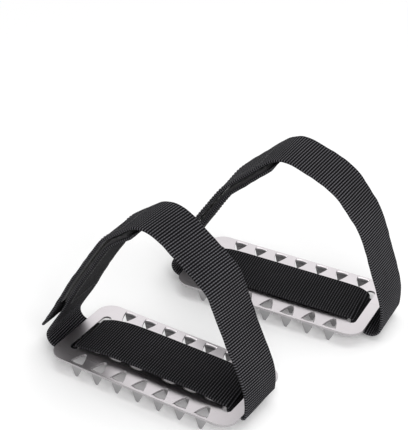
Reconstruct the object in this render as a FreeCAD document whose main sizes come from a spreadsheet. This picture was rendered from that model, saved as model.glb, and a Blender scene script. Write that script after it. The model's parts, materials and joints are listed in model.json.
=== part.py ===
"""A pair of strap-on ice crampons.

Each crampon is a stamped steel plate with 26 punched teeth and one length of flat webbing.
The webbing is threaded through the slot at each end of the plate, passes under both end bars,
and closes over the boot with a hook tape on its long end and a pile tape on its short end.

Each crampon is drawn in its own plate frame: u along the plate, v across it, z up, with zero
at the middle of the plate's top face. The finished pair stands on its tooth tips, with the
origin under the middle of the pair. Lengths are in millimetres.
"""
import FreeCAD, Part
import math
import os
import Sketcher

Vector = FreeCAD.Vector
Rotation = FreeCAD.Rotation
Placement = FreeCAD.Placement

THROUGH = 4            # a through cut's whole length, over the length of what it passes
CLOSE = 1e-6           # a stretch shorter than this is nothing
HALVINGS = 50          # steps of a search by halves
UPRIGHT = 0.9          # an edge whose heading rises more than this is upright

PAIR_SIZES = {
    "plate_length": (110.0, "spike plate, end to end"),
    "plate_width": (55.5, "spike plate, side to side"),
    "plate_thick": (1.2, "sheet thickness of plate and teeth"),
    "corner_radius": (9.0, "outer corners of the plate"),
    "end_bar": (6.5, "width of the bar outside each slot"),
    "slot_width": (5.0, "strap slot, along the plate"),
    "slot_spare": (1.9, "slot end beyond the webbing's edge"),
    "outer_teeth": (7, "teeth in each outer row"),
    "outer_pitch": (12.5, "tooth spacing in the outer rows"),
    "outer_fold": (2.1, "plate edge to the fold of the outer rows"),
    "inner_teeth": (3, "teeth in each half of an inner row"),
    "inner_pitch": (12.7, "tooth spacing in the inner rows"),
    "inner_start": (9.9, "middle of the plate to the first inner tooth"),
    "inner_fold": (15.0, "plate edge to the fold of the inner rows"),
    "tooth_width": (7.0, "width of a tooth at its fold"),
    "tooth_drop": (9.0, "plate's top face to the tooth tips"),
    "tooth_bow": (0.45, "bulge of a tooth's two curved sides"),
    "tip_flat": (0.9, "width of the blunt tip"),
    "punch_length": (8.2, "fold to apex of the punched opening"),
    "web_width": (30.0, "webbing width"),
    "web_thick": (1.5, "webbing thickness"),
    "tape_width": (25.0, "hook and pile tape width"),
    "hook_thick": (1.2, "hook tape thickness"),
    "pile_thick": (1.5, "pile tape thickness"),
    "thread_thick": (0.4, "stitching standing on the webbing"),
    "thread_width": (0.8, "width of a row of stitching"),
    "gap": (0.3, "clearance between pieces that part or slide"),
    "bar_gap": (0.4, "clearance between webbing and end bar"),
    "lean_cover": (0.5, "lean seat radius beyond half the webbing"),
    "lean_drop": (1.0, "plate's top face down to the lean axis"),
    "seat_share": (0.9, "end of the lean seat, over the height where it leaves the webbing"),
    "fold_height": (20.0, "plate's top face up to the short end's fold"),
    "tape_height": (23.5, "plate's top face up to the lower end of the tapes"),
    "tape_setback": (4.0, "end of the webbing or fold to the start of a tape"),
    "peel_setback": (8.5, "middle of the apex to the long end's peel line"),
    "short_setback": (6.0, "apex to the short end's cut"),
    "bow_in": (25.0, "plate end to where the run over the plate levels out"),
    "bow_curve": (60.0, "bend radius where the run levels out"),
    "pair_across": (97.9, "front plate middle to rear plate middle, across"),
    "pair_along": (16.0, "front plate middle to rear plate middle, along"),
    "pair_yaw": (5.5, "rear plate turned against the front one, degrees"),
}

# The two loops hang differently. Sizes ending in _in and _out count inboard and outboard of
# the plate's end, _drop counts down from the apex corner, _height up from the plate's top
# face, _sag down from the run under the bar, and _curve is the bend radius at that corner.
LOOP_SIZES = {
    "front": {
        "run_rise": 2.3, "right_out": 1.35, "right_sag": 0.0, "right_curve": 1.9,
        "knee_out": 1.65, "knee_height": 11.6, "knee_curve": 40.0,
        "shoulder_in": 23.1, "shoulder_drop": 24.7, "shoulder_curve": 12.0,
        "crown_in": 50.4, "crown_drop": 4.8, "crown_curve": 25.0,
        "apex_shift": -8.0, "apex_height": 88.6, "apex_curve": 14.0,
        "brow_in": 24.8, "brow_drop": 17.0, "brow_curve": 25.0,
        "elbow_in": 5.6, "elbow_drop": 50.0, "elbow_curve": 120.0,
        "flare_out": 3.6, "flare_height": 20.0, "flare_curve": 60.0,
        "tail_out": 11.7, "tail_height": 5.2,
        "left_out": 14.0, "left_sag": 4.65, "left_curve": 5.5,
    },
    "back": {
        "run_rise": 0.4, "right_out": 7.55, "right_sag": 6.05, "right_curve": 6.0,
        "knee_out": 7.55, "knee_height": 12.0, "knee_curve": 40.0,
        "shoulder_in": 8.3, "shoulder_drop": 33.4, "shoulder_curve": 45.0,
        "crown_in": 25.6, "crown_drop": 11.6, "crown_curve": 35.0,
        "apex_shift": -2.7, "apex_height": 88.6, "apex_curve": 17.0,
        "brow_in": 19.9, "brow_drop": 30.9, "brow_curve": 40.0,
        "elbow_in": 7.0, "elbow_drop": 51.9, "elbow_curve": 120.0,
        "flare_out": 2.6, "flare_height": 19.7, "flare_curve": 60.0,
        "tail_out": 9.7, "tail_height": 7.8,
        "left_out": 12.5, "left_sag": 4.65, "left_curve": 5.5,
    },
}


def make_sheet(doc):
    """Put every driving size into a spreadsheet with an alias, and return the plain numbers."""
    sheet = doc.addObject("Spreadsheet::Sheet", "sizes")
    rows = [(name, value, note) for name, (value, note) in PAIR_SIZES.items()]
    for side, sizes in LOOP_SIZES.items():
        rows += [(side + "_" + name, value, side + " loop") for name, value in sizes.items()]
    for row, (alias, value, note) in enumerate(rows, start=1):
        sheet.set("A%d" % row, note)
        sheet.set("B%d" % row, str(value))
        sheet.setAlias("B%d" % row, alias)
    doc.recompute()
    return {alias: float(sheet.get(alias)) for alias, _, _ in rows}


# ------------------------------------------------------------ lines in the u-z plane


def turned_left(direction):
    """The direction a quarter turn to the left."""
    return Vector(-direction.y, direction.x, 0)


def unit(vector):
    """The vector at length one."""
    return vector / vector.Length


def shifted_corners(corners, distance):
    """The corners of a broken line moved to its left by a distance."""
    headings = [unit(after - before) for before, after in zip(corners, corners[1:])]
    moved = [corners[0] + turned_left(headings[0]) * distance]
    for corner, one, two in zip(corners[1:], headings, headings[1:]):
        miter = turned_left(one) + turned_left(two)
        moved.append(corner + miter * (distance / miter.dot(turned_left(one))))
    moved.append(corners[-1] + turned_left(headings[-1]) * distance)
    return moved


class Line:
    """A straight stretch between two points."""

    def __init__(self, start, end):
        self.start, self.end = start, end
        self.length = (end - start).Length

    def cut(self, low, high):
        heading = unit(self.end - self.start)
        return Line(self.start + heading * low, self.start + heading * high)

    def shifted(self, distance):
        move = turned_left(unit(self.end - self.start)) * distance
        return Line(self.start + move, self.end + move)

    def geometry(self):
        return Part.LineSegment(self.start, self.end)


class Arc:
    """A round stretch: centre, radius, start angle and signed sweep, in radians."""

    def __init__(self, centre, radius, angle, sweep):
        self.centre, self.radius, self.angle, self.sweep = centre, radius, angle, sweep
        self.length = radius * abs(sweep)
        self.start, self.end = self.at(angle), self.at(angle + sweep)

    def at(self, angle):
        return self.centre + Vector(math.cos(angle), math.sin(angle), 0) * self.radius

    def cut(self, low, high):
        turn = math.copysign(1.0 / self.radius, self.sweep)
        return Arc(self.centre, self.radius, self.angle + turn * low, turn * (high - low))

    def shifted(self, distance):
        radius = self.radius - distance * math.copysign(1.0, self.sweep)
        return Arc(self.centre, radius, self.angle, self.sweep)

    def geometry(self):
        low, high = sorted((self.angle, self.angle + self.sweep))
        return Part.ArcOfCircle(Part.Circle(self.centre, Vector(0, 0, 1), self.radius), low, high)


class Route:
    """A line of straight runs joined by tangent arcs, through named corners with radii."""

    def __init__(self, corners):
        """corners: (name, point, bend radius) in order; the two ends have no radius."""
        points = [point for _, point, _ in corners]
        here = points[0]
        self.stretches = []
        self.marks = {}
        for (name, corner, radius), before, after in zip(corners[1:], points, points[2:]):
            heading_in, heading_out = unit(corner - before), unit(after - corner)
            turn = math.atan2(turned_left(heading_in).dot(heading_out), heading_in.dot(heading_out))
            setback = radius * math.tan(abs(turn) / 2)
            first = corner - heading_in * setback
            if (first - here).dot(heading_in) < 0:
                raise ValueError("no room for the bend at " + name)
            centre = first + turned_left(heading_in) * math.copysign(radius, turn)
            spoke = first - centre
            arc = Arc(centre, radius, math.atan2(spoke.y, spoke.x), turn)
            self.stretches += [Line(here, first), arc]
            self.marks[name] = self.length() - arc.length / 2
            here = corner + heading_out * setback
        self.stretches.append(Line(here, points[-1]))

    def length(self):
        return sum(piece.length for piece in self.stretches)

    def between(self, low, high):
        """The stretches from one distance along the route to another."""
        taken = []
        begin = 0.0
        for piece in self.stretches:
            first, last = max(low - begin, 0.0), min(high - begin, piece.length)
            if last - first > CLOSE:
                taken.append(piece.cut(first, last))
            begin += piece.length
        return taken

    def point(self, distance, shift=0.0):
        """The point at a distance along the route, moved to its left by a shift."""
        if distance >= self.length():
            return self.stretches[-1].shifted(shift).end
        return self.between(distance, self.length())[0].shifted(shift).start

    def at_height(self, low, high, height):
        """The distance between low and high at which the route crosses a height."""
        rises = self.point(high).y > self.point(low).y
        for _ in range(HALVINGS):
            middle = (low + high) / 2
            if (self.point(middle).y < height) == rises:
                low = middle
            else:
                high = middle
        return low

    def outline(self, low, high, inside, outside):
        """The closed outline of a strip along the route, between two shifts to its left."""
        left = [piece.shifted(inside) for piece in self.between(low, high)]
        right = [piece.shifted(outside) for piece in self.between(low, high)]
        ends = [Line(left[0].start, right[0].start), Line(left[-1].end, right[-1].end)]
        return [piece.geometry() for piece in left + right + ends]


# ------------------------------------------------------------ features of a body


def new_body(doc, node):
    """An empty body whose label names its node."""
    body = doc.addObject("PartDesign::Body", node)
    body.Label = node
    return body


def origin_feature(body, role):
    """One of the body's own origin planes or axes."""
    return next(item for item in body.Origin.OriginFeatures if item.Role == role)


def new_sketch(body, name, role, offset=None):
    """A sketch on one of the body's origin planes, moved along its normal by an expression."""
    sketch = body.newObject("Sketcher::SketchObject", name)
    sketch.AttachmentSupport = [(origin_feature(body, role), "")]
    sketch.MapMode = "FlatFace"
    if offset:
        sketch.setExpression("AttachmentOffset.Base.z", offset)
    return sketch


def add_feature(body, kind, name, sketch, length):
    """A pad or pocket to both sides of its sketch, with its whole length as an expression."""
    feature = body.newObject("PartDesign::" + kind, name)
    feature.Profile = sketch
    feature.SideType = "Symmetric"
    feature.setExpression("Length", length)
    sketch.Visibility = False
    return feature


def add_strip(body, route, low, high, inside, outside, width, kind="Pad"):
    """A strip along the route, made or cut across the whole of a width."""
    sketch = new_sketch(body, kind + "Outline", "XZ_Plane")
    sketch.addGeometry(route.outline(low, high, inside, outside), False)
    return add_feature(body, kind, kind + "Strip", sketch, width)


def bowed_side(start, end, bow):
    """An arc from start to end that stands out to the right of the way by a bow."""
    middle = (start + end) / 2 - turned_left(unit(end - start)) * bow
    return Part.Arc(start, middle, end)


def tooth_outline(size, root, length, side):
    """A tooth's outline: its root, two bowed sides and a blunt tip.

    root is the middle of the fold, and side is +1 or -1, the way to the tip along the
    sketch's second axis.
    """
    half, flat = size["tooth_width"] / 2, size["tip_flat"] / 2
    left, right = root - Vector(half, 0, 0), root + Vector(half, 0, 0)
    tip = root + Vector(0, side * length, 0)
    tip_left, tip_right = tip - Vector(flat, 0, 0), tip + Vector(flat, 0, 0)
    bow = size["tooth_bow"] * side
    return [Part.LineSegment(left, right), bowed_side(right, tip_right, bow),
            Part.LineSegment(tip_right, tip_left), bowed_side(tip_left, left, bow)]


# ------------------------------------------------------------ the spike plate


def add_plate_blank(doc, body, size):
    """The flat blank with its rounded corners, its top face at zero height."""
    sketch = new_sketch(body, "BlankOutline", "XY_Plane", "-sizes.plate_thick / 2")
    x, y = size["plate_length"] / 2, size["plate_width"] / 2
    corners = [Vector(-x, -y, 0), Vector(x, -y, 0), Vector(x, y, 0), Vector(-x, y, 0)]
    for start, end in zip(corners, corners[1:] + corners[:1]):
        sketch.addGeometry(Part.LineSegment(start, end), False)
    for side in range(4):
        sketch.addConstraint(Sketcher.Constraint("Coincident", side, 2, (side + 1) % 4, 1))
        sketch.addConstraint(Sketcher.Constraint("Vertical" if side % 2 else "Horizontal", side))
    sketch.addConstraint(Sketcher.Constraint("Symmetric", 0, 1, 1, 2, -1, 1))
    for name, line, kind in (("length", 0, "DistanceX"), ("width", 1, "DistanceY")):
        value = size["plate_" + name]
        index = sketch.addConstraint(Sketcher.Constraint(kind, line, 1, line, 2, value))
        sketch.renameConstraint(index, name)
        sketch.setExpression("Constraints." + name, "sizes.plate_" + name)
    blank = add_feature(body, "Pad", "Blank", sketch, "sizes.plate_thick")
    doc.recompute()
    upright = ["Edge%d" % (number + 1) for number, edge in enumerate(blank.Shape.Edges)
               if abs(edge.tangentAt(edge.FirstParameter).z) > UPRIGHT]
    rounds = body.newObject("PartDesign::Fillet", "Corners")
    rounds.Base = (blank, upright)
    rounds.setExpression("Radius", "sizes.corner_radius")


def add_strap_slots(body, size):
    """One long slot with round ends inside each end bar."""
    sketch = new_sketch(body, "SlotOutline", "XY_Plane")
    radius = size["slot_width"] / 2
    reach = size["web_width"] / 2 + size["slot_spare"] - radius
    middle = size["plate_length"] / 2 - size["end_bar"] - radius
    for side in (-1, 1):
        near, far = Vector(side * middle, -reach, 0), Vector(side * middle, reach, 0)
        across = Vector(radius, 0, 0)
        up = Vector(0, 0, 1)
        sketch.addGeometry([
            Part.LineSegment(near - across, far - across),
            Part.LineSegment(near + across, far + across),
            Part.ArcOfCircle(Part.Circle(near, up, radius), math.pi, 2 * math.pi),
            Part.ArcOfCircle(Part.Circle(far, up, radius), 0, math.pi)], False)
    add_feature(body, "Pocket", "StrapSlots", sketch, "sizes.plate_thick * %d" % THROUGH)


def add_tooth_row(body, size, name, side, fold, start, pitch, count):
    """A row of teeth punched towards the plate's middle line and folded down.

    side is -1 for the near half of the plate and +1 for the far half. fold, pitch and count
    name cells, and start is the first tooth's place along the plate.
    """
    root = side * (size["plate_width"] / 2 - size[fold])
    opening = new_sketch(body, name + "Opening", "XY_Plane")
    opening.addGeometry(tooth_outline(size, Vector(start, root, 0), size["punch_length"], -side),
                        False)
    pocket = add_feature(body, "Pocket", name + "Punch", opening,
                         "sizes.plate_thick * %d" % THROUGH)
    middle = "(sizes.plate_width / 2 - sizes.%s - sizes.plate_thick / 2)" % fold
    profile = new_sketch(body, name + "Tooth", "XZ_Plane", "%d * %s" % (-side, middle))
    profile.addGeometry(tooth_outline(size, Vector(start, 0, 0), size["tooth_drop"], -1), False)
    tooth = add_feature(body, "Pad", name + "Fold", profile, "sizes.plate_thick")
    row = body.newObject("PartDesign::LinearPattern", name + "Row")
    row.Originals = [pocket, tooth]
    row.Direction = (origin_feature(body, "X_Axis"), [""])
    row.setExpression("Length", "sizes.%s * (sizes.%s - 1)" % (pitch, count))
    row.setExpression("Occurrences", "sizes." + count)
    body.Tip = row


def make_spike_plate(doc, size, side):
    """The stamped plate: blank, strap slots and 26 teeth in four rows."""
    body = new_body(doc, side + "_spike_plate")
    add_plate_blank(doc, body, size)
    add_strap_slots(body, size)
    outer_start = -size["outer_pitch"] * (size["outer_teeth"] - 1) / 2
    inner_reach = size["inner_start"] + size["inner_pitch"] * (size["inner_teeth"] - 1)
    for row, way in (("Near", -1), ("Far", 1)):
        add_tooth_row(body, size, row + "Outer", way, "outer_fold", outer_start,
                      "outer_pitch", "outer_teeth")
        add_tooth_row(body, size, row + "InnerLeft", way, "inner_fold", -inner_reach,
                      "inner_pitch", "inner_teeth")
        add_tooth_row(body, size, row + "InnerRight", way, "inner_fold", size["inner_start"],
                      "inner_pitch", "inner_teeth")
    return body


# ------------------------------------------------------------ the webbing


def webbing_route(size, side):
    """The centre line of one crampon's whole length of webbing.

    From the short end's cut under the apex it runs down the left of the boot, under the left
    end bar, up through the slot, over the plate, down and under the right end bar, up the
    right of the boot, over the apex and down the left again, outside the short end.
    """
    own = {name: size[side + "_" + name] for name in LOOP_SIZES[side]}
    half = size["plate_length"] / 2
    slot = half - size["end_bar"] - size["slot_width"] / 2
    over = size["gap"] + size["web_thick"] / 2
    under = -size["plate_thick"] - size["bar_gap"] - size["web_thick"] / 2
    crest = own["apex_height"]
    loop = [
        ("knee", Vector(half + own["knee_out"], own["knee_height"], 0)),
        ("shoulder", Vector(half - own["shoulder_in"], crest - own["shoulder_drop"], 0)),
        ("crown", Vector(half - own["crown_in"], crest - own["crown_drop"], 0)),
        ("apex", Vector(own["apex_shift"], crest, 0)),
        ("brow", Vector(own["brow_in"] - half, crest - own["brow_drop"], 0)),
        ("elbow", Vector(own["elbow_in"] - half, crest - own["elbow_drop"], 0)),
        ("flare", Vector(-half - own["flare_out"], own["flare_height"], 0)),
        ("tail", Vector(-half - own["tail_out"], own["tail_height"], 0)),
    ]
    stack = size["web_thick"] + size["hook_thick"] + size["gap"] + size["pile_thick"]
    doubled = shifted_corners([point for _, point in loop], stack)
    apex, brow, elbow, heel = doubled[3:7]
    short_cut = apex + unit(brow - apex) * size["short_setback"]
    level = over + own["run_rise"]
    corners = [
        ("short_cut", short_cut, 0.0),
        ("short_brow", brow, own["brow_curve"] - stack),
        ("short_elbow", elbow, own["elbow_curve"] - stack),
        ("heel", heel, own["flare_curve"]),
        ("left_curl", Vector(-half - own["left_out"], under - own["left_sag"], 0),
         own["left_curve"]),
        ("left_slot_foot", Vector(-slot, under, 0), size["web_thick"]),
        ("left_slot_head", Vector(-slot, over, 0), size["web_thick"]),
        ("run_left", Vector(size["bow_in"] - half, level, 0), size["bow_curve"]),
        ("run_right", Vector(half - size["bow_in"], level, 0), size["bow_curve"]),
        ("right_slot_head", Vector(slot, over, 0), size["web_thick"]),
        ("right_slot_foot", Vector(slot, under, 0), size["web_thick"]),
        ("right_curl", Vector(half + own["right_out"], under - own["right_sag"], 0),
         own["right_curve"]),
    ]
    corners += [(name, point, own.get(name + "_curve", 0.0)) for name, point in loop]
    return Route(corners)


def seat_edge(size, radius):
    """Where the lean seat ends above the lean axis.

    The circle leaves the webbing's edge a little higher, so the seat spans the whole width.
    """
    return (radius ** 2 - (size["web_width"] / 2) ** 2) ** 0.5 * size["seat_share"]


def lean_seat_outline(size, radius):
    """What is cut from a strap's stub: all above the lean axis and outside a circle."""
    axis = -size["lean_drop"]
    side = size["web_width"] / 2 + size["lean_cover"]
    edge = seat_edge(size, radius)
    start = math.asin(edge / radius)
    centre = Vector(0, axis, 0)
    arc = Part.ArcOfCircle(Part.Circle(centre, Vector(0, 0, 1), radius), start, math.pi - start)
    reach = radius * math.cos(start)
    top = axis + radius + size["lean_cover"]
    points = [Vector(reach, axis + edge, 0), Vector(side + reach, axis + edge, 0),
              Vector(side + reach, top, 0), Vector(-side - reach, top, 0),
              Vector(-side - reach, axis + edge, 0), Vector(-reach, axis + edge, 0)]
    return [arc] + [Part.LineSegment(a, b) for a, b in zip(points, points[1:])]


class StrapPieces:
    """The pieces of one crampon's webbing, with its tapes and stitching."""

    def __init__(self, doc, size, side):
        self.doc, self.size, self.side = doc, size, side
        self.route = webbing_route(size, side)
        marks, gap = self.route.marks, size["gap"]
        self.seat_radius = size["web_width"] / 2 + size["lean_cover"]
        stub_top = self.seat_radius - size["lean_drop"]
        strap_foot = seat_edge(size, self.seat_radius + gap) - size["lean_drop"]
        at = self.route.at_height
        self.fold = at(0.0, marks["left_curl"], size["fold_height"])
        self.left_stub = at(0.0, marks["left_curl"], stub_top)
        self.left_foot = at(0.0, marks["left_curl"], strap_foot)
        self.right_stub = at(marks["right_curl"], marks["shoulder"], stub_top)
        self.right_foot = at(marks["right_curl"], marks["shoulder"], strap_foot)
        self.peel = marks["apex"] + size["peel_setback"]
        self.tip = self.route.length()
        self.hook = (self.peel + size["tape_setback"],
                     at(marks["apex"], self.tip, size["tape_height"]))
        self.pile = (size["tape_setback"], at(0.0, marks["left_curl"], size["tape_height"]))

    def strip(self, node, low, high, inside, outside, width="sizes.web_width"):
        body = new_body(self.doc, self.side + "_" + node)
        add_strip(body, self.route, low, high, inside, outside, width)
        return body

    def web(self, node, low, high):
        """A stretch of the webbing itself, at its full width and thickness."""
        half = self.size["web_thick"] / 2
        return self.strip(node, low, high, half, -half)

    def free_of_seat(self, body):
        """Cut a strap's foot to a circle about the lean axis, clear of the stub's seat."""
        sketch = new_sketch(body, "SeatOutline", "YZ_Plane")
        circle = Part.Circle(Vector(0, -self.size["lean_drop"], 0), Vector(0, 0, 1),
                             self.seat_radius)
        sketch.addGeometry(circle, False)
        index = sketch.addConstraint(Sketcher.Constraint("Radius", 0, self.seat_radius))
        sketch.renameConstraint(index, "seat")
        sketch.setExpression("Constraints.seat",
                             "sizes.web_width / 2 + sizes.lean_cover + sizes.gap")
        add_feature(body, "Pocket", "Seat", sketch, "sizes.plate_length * %d" % THROUGH)
        return body

    def sole_strap(self):
        """The run over the plate, with its turns under both bars and its two round stubs."""
        body = self.web("sole_strap", self.left_stub, self.right_stub)
        for name, way in (("Left", "-"), ("Right", "")):
            sketch = new_sketch(body, name + "StubOutline", "YZ_Plane",
                                way + "(sizes.plate_length / 2 - sizes.end_bar + sizes.web_width / 2)")
            sketch.addGeometry(lean_seat_outline(self.size, self.seat_radius), False)
            add_feature(body, "Pocket", name + "Stub", sketch, "sizes.web_width")
        return body

    def tape(self, node, span, thick, way):
        """A sewn tape on one face of the webbing, standing off it by its own thickness."""
        face = self.size["web_thick"] / 2 * way
        return self.strip(node, span[0], span[1], face + thick * way, face, "sizes.tape_width")

    def stitching(self, node, span, way):
        """The box of stitching that holds a tape, on the webbing's other face."""
        row, thick = self.size["thread_width"], self.size["thread_thick"] * way
        face = -self.size["web_thick"] / 2 * way
        body = self.strip(node, span[0] + row, span[1] - row, face, face - thick,
                          "sizes.tape_width - 2 * sizes.thread_width")
        add_strip(body, self.route, span[0] + 2 * row, span[1] - 2 * row, face + thick,
                  face - 2 * thick, "sizes.tape_width - 4 * sizes.thread_width", "Pocket")
        return body

    def make(self):
        """All pieces, in their order along the webbing."""
        size, half_gap = self.size, self.size["gap"] / 2
        return [
            self.sole_strap(),
            self.free_of_seat(self.web("short_strap_root", self.fold + half_gap,
                                       self.left_foot)),
            self.web("short_strap", 0.0, self.fold - half_gap),
            self.free_of_seat(self.web("arch_strap", self.right_foot, self.peel - half_gap)),
            self.web("tail_strap", self.peel + half_gap, self.tip),
            self.tape("hook_tape", self.hook, size["hook_thick"], 1),
            self.tape("pile_tape", self.pile, size["pile_thick"], -1),
            self.stitching("hook_stitching", self.hook, 1),
            self.stitching("pile_stitching", self.pile, -1),
        ]


# ------------------------------------------------------------ the pair


def check_document(doc, bodies):
    """Stop at a failed feature, or at a body that is empty, invalid or in several lumps."""
    for item in doc.Objects:
        if "Invalid" in item.State or "Error" in item.State:
            raise RuntimeError("failed feature: " + item.Label)
    for body in bodies:
        if body.Shape.isNull() or not body.Shape.isValid() or len(body.Shape.Solids) != 1:
            raise RuntimeError("bad solid: " + body.Label)


def place_pair(size, crampons):
    """Stand the pair on its tooth tips, with the origin under the middle of its box."""
    yaw = Rotation(Vector(0, 0, 1), size["pair_yaw"])
    places = {"front": Placement(Vector(0, 0, 0), Rotation()),
              "back": Placement(Vector(size["pair_along"], size["pair_across"], 0), yaw)}
    box = FreeCAD.BoundBox()
    for side, bodies in crampons.items():
        for body in bodies:
            shape = body.Shape.copy()
            shape.Placement = places[side]
            box.add(shape.optimalBoundingBox(False, False))
    to_origin = Vector(-box.Center.x, -box.Center.y, size["tooth_drop"])
    for side, bodies in crampons.items():
        for body in bodies:
            body.Placement = Placement(places[side].Base + to_origin, places[side].Rotation)


def main():
    doc = FreeCAD.newDocument("ice_crampons")
    size = make_sheet(doc)
    crampons = {side: [make_spike_plate(doc, size, side)] + StrapPieces(doc, size, side).make()
                for side in LOOP_SIZES}
    bodies = [body for group in crampons.values() for body in group]
    doc.recompute()
    check_document(doc, bodies)
    place_pair(size, crampons)
    doc.recompute()
    check_document(doc, bodies)
    os.makedirs("parts", exist_ok=True)
    for body in bodies:
        body.Shape.exportStep("parts/%s.step" % body.Label)
        print("%-26s %8.1f mm3" % (body.Label, body.Shape.Volume))


main()
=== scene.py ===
"""Looks of a pair of strap-on ice crampons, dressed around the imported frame.

Each crampon is a stamped steel plate with punched teeth and one length of ribbed webbing, whose
long end closes over its short end with hook and pile tape. Lengths are in millimetres in each
plate's own frame (u along the plate, v across it, z up from its top face) until Place.to_row
turns them into metres in the row frame.
"""

import json
import logging
import math
from dataclasses import dataclass
from enum import Enum

import bmesh
import bpy
import numpy as np
from mathutils import Matrix, Vector

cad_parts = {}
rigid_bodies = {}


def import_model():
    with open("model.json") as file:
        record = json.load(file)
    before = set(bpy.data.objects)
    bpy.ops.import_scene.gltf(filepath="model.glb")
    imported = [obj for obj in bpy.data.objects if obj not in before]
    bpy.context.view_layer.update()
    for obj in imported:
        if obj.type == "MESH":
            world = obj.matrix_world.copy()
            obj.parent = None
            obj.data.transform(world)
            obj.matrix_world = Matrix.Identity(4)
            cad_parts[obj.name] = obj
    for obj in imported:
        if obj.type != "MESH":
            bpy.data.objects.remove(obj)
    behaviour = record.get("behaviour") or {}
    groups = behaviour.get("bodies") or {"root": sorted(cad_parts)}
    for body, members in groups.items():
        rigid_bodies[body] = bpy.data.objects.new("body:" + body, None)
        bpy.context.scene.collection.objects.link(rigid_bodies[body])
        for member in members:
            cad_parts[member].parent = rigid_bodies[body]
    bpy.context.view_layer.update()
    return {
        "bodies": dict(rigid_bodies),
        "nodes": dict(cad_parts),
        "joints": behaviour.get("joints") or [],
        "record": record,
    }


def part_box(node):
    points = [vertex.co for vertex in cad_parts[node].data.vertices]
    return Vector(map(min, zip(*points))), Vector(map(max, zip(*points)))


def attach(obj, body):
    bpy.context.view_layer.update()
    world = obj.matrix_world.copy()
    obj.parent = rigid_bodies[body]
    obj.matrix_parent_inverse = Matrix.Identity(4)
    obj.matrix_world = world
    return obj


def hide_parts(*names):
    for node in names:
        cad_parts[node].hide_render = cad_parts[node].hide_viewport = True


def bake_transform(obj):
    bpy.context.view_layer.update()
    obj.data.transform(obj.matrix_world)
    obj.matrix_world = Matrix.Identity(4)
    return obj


LOG = logging.getLogger("crampons")
MM = 0.001
TINY = 1e-12
NEARLY_ALONG = 0.8

Colour = tuple[float, float, float, float]
Span = tuple[float, float]


class Side(Enum):
    """Which crampon of the pair."""

    FRONT = "front"
    BACK = "back"


class Face(Enum):
    """A face of the webbing, as a sign of the shift towards the boot."""

    BOOT = 1
    OUTER = -1


# ---------------------------------------------------------------- sizes


@dataclass(frozen=True)
class PlateSize:
    """The stamped plate, in millimetres."""

    length: float = 110.0
    width: float = 55.5
    thick: float = 1.2
    corner: float = 9.0
    end_bar: float = 6.5
    slot_width: float = 5.0
    slot_spare: float = 1.9
    outer_teeth: int = 7
    outer_pitch: float = 12.5
    outer_fold: float = 2.1
    inner_teeth: int = 3
    inner_pitch: float = 12.7
    inner_start: float = 9.9
    inner_fold: float = 15.0
    tooth_width: float = 7.0
    tooth_drop: float = 9.0
    tooth_bow: float = 0.45
    tip_flat: float = 0.9
    punch_length: float = 8.2
    bend_inside: float = 0.35
    fold_bow: float = 0.7
    relief: float = 0.22
    edge_round: float = 0.11


@dataclass(frozen=True)
class WebSize:
    """The webbing and what is sewn to it, in millimetres."""

    width: float = 30.0
    thick: float = 1.5
    hook_thick: float = 1.2
    pile_thick: float = 1.5
    tape_width: float = 25.0
    gap: float = 0.3
    bar_gap: float = 0.4
    thread: float = 0.4
    rib_pitch: float = 1.45
    rib_depth: float = 0.34
    rib_power: float = 0.7
    rib_wander: float = 0.10
    wander_length: float = 31.0
    wander_lag: float = 0.8
    yarn_pitch: float = 1.94
    yarn_depth: float = 0.08
    yarn_power: float = 0.6
    skew: float = 0.06
    selvedge: Span = (0.2, 1.6)
    sewn_depth: float = 0.12


@dataclass(frozen=True)
class Limpness:
    """How far a limp strap departs from a flat band, in millimetres.

    Sizes ending in _length are the longest wave of that unevenness. The reaches are the widths
    of bell curves about a slot, and each squeeze is a share of the webbing's width.
    """

    sway: float = 0.45
    sway_length: float = 150.0
    twist: float = 0.55
    twist_length: float = 120.0
    trough: float = 0.30
    trough_level: float = 0.3
    ripple: float = 0.16
    ripple_length: float = 17.0
    free_span: Span = (-2.0, 40.0)
    slot_sway_reach: float = 22.0
    squeeze: float = 0.045
    far_squeeze: float = 0.15
    far_span: Span = (-0.2, 1.0)
    squeeze_reach: float = 5.0


@dataclass(frozen=True)
class CutSize:
    """A cut end of the webbing and its loose yarn ends, in millimetres."""

    close: float = 0.55
    least_share: float = 0.10
    wander: float = 0.22
    wander_length: float = 9.0
    back: float = 0.25
    reach: float = 2.0
    fibres: int = 16
    fibre_length: Span = (0.2, 0.8)
    fibre_root: float = 0.4
    fibre_across: float = 14.6
    fibre_level: float = 0.4
    fibre_bend: Span = (0.8, 0.5)
    fibre_radius: Span = (0.09, 0.04)
    fibre_points: int = 7


@dataclass(frozen=True)
class HookSize:
    """Hook tape's cloth and hooks, in millimetres."""

    cloth: float = 0.5
    margin: Span = (1.2, 1.0)
    row_pitch: float = 1.7
    pitch: float = 1.5
    reach: float = 11.4
    root: float = 0.22
    stem: float = 0.42
    curl: float = 0.26
    curl_points: int = 5
    turn: float = 0.8
    radius: float = 0.09


@dataclass(frozen=True)
class PileSize:
    """Pile tape's cloth and loops, in millimetres."""

    cloth: float = 1.30
    loops: int = 1500
    margin: float = 0.8
    reach: float = 11.6
    half_span: Span = (0.35, 0.75)
    height: Span = (0.25, 0.55)
    loop_points: int = 6
    root: float = 0.16
    radius: float = 0.07


@dataclass(frozen=True)
class StitchSize:
    """Lock stitches: their pitch, and the part of it that shows, in millimetres."""

    pitch: float = 2.4
    inset: float = 1.0
    start_share: float = 0.14
    shown_share: float = 0.78
    root: float = 0.14
    arch_power: float = 0.35
    points: int = 7
    around: int = 6


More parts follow.
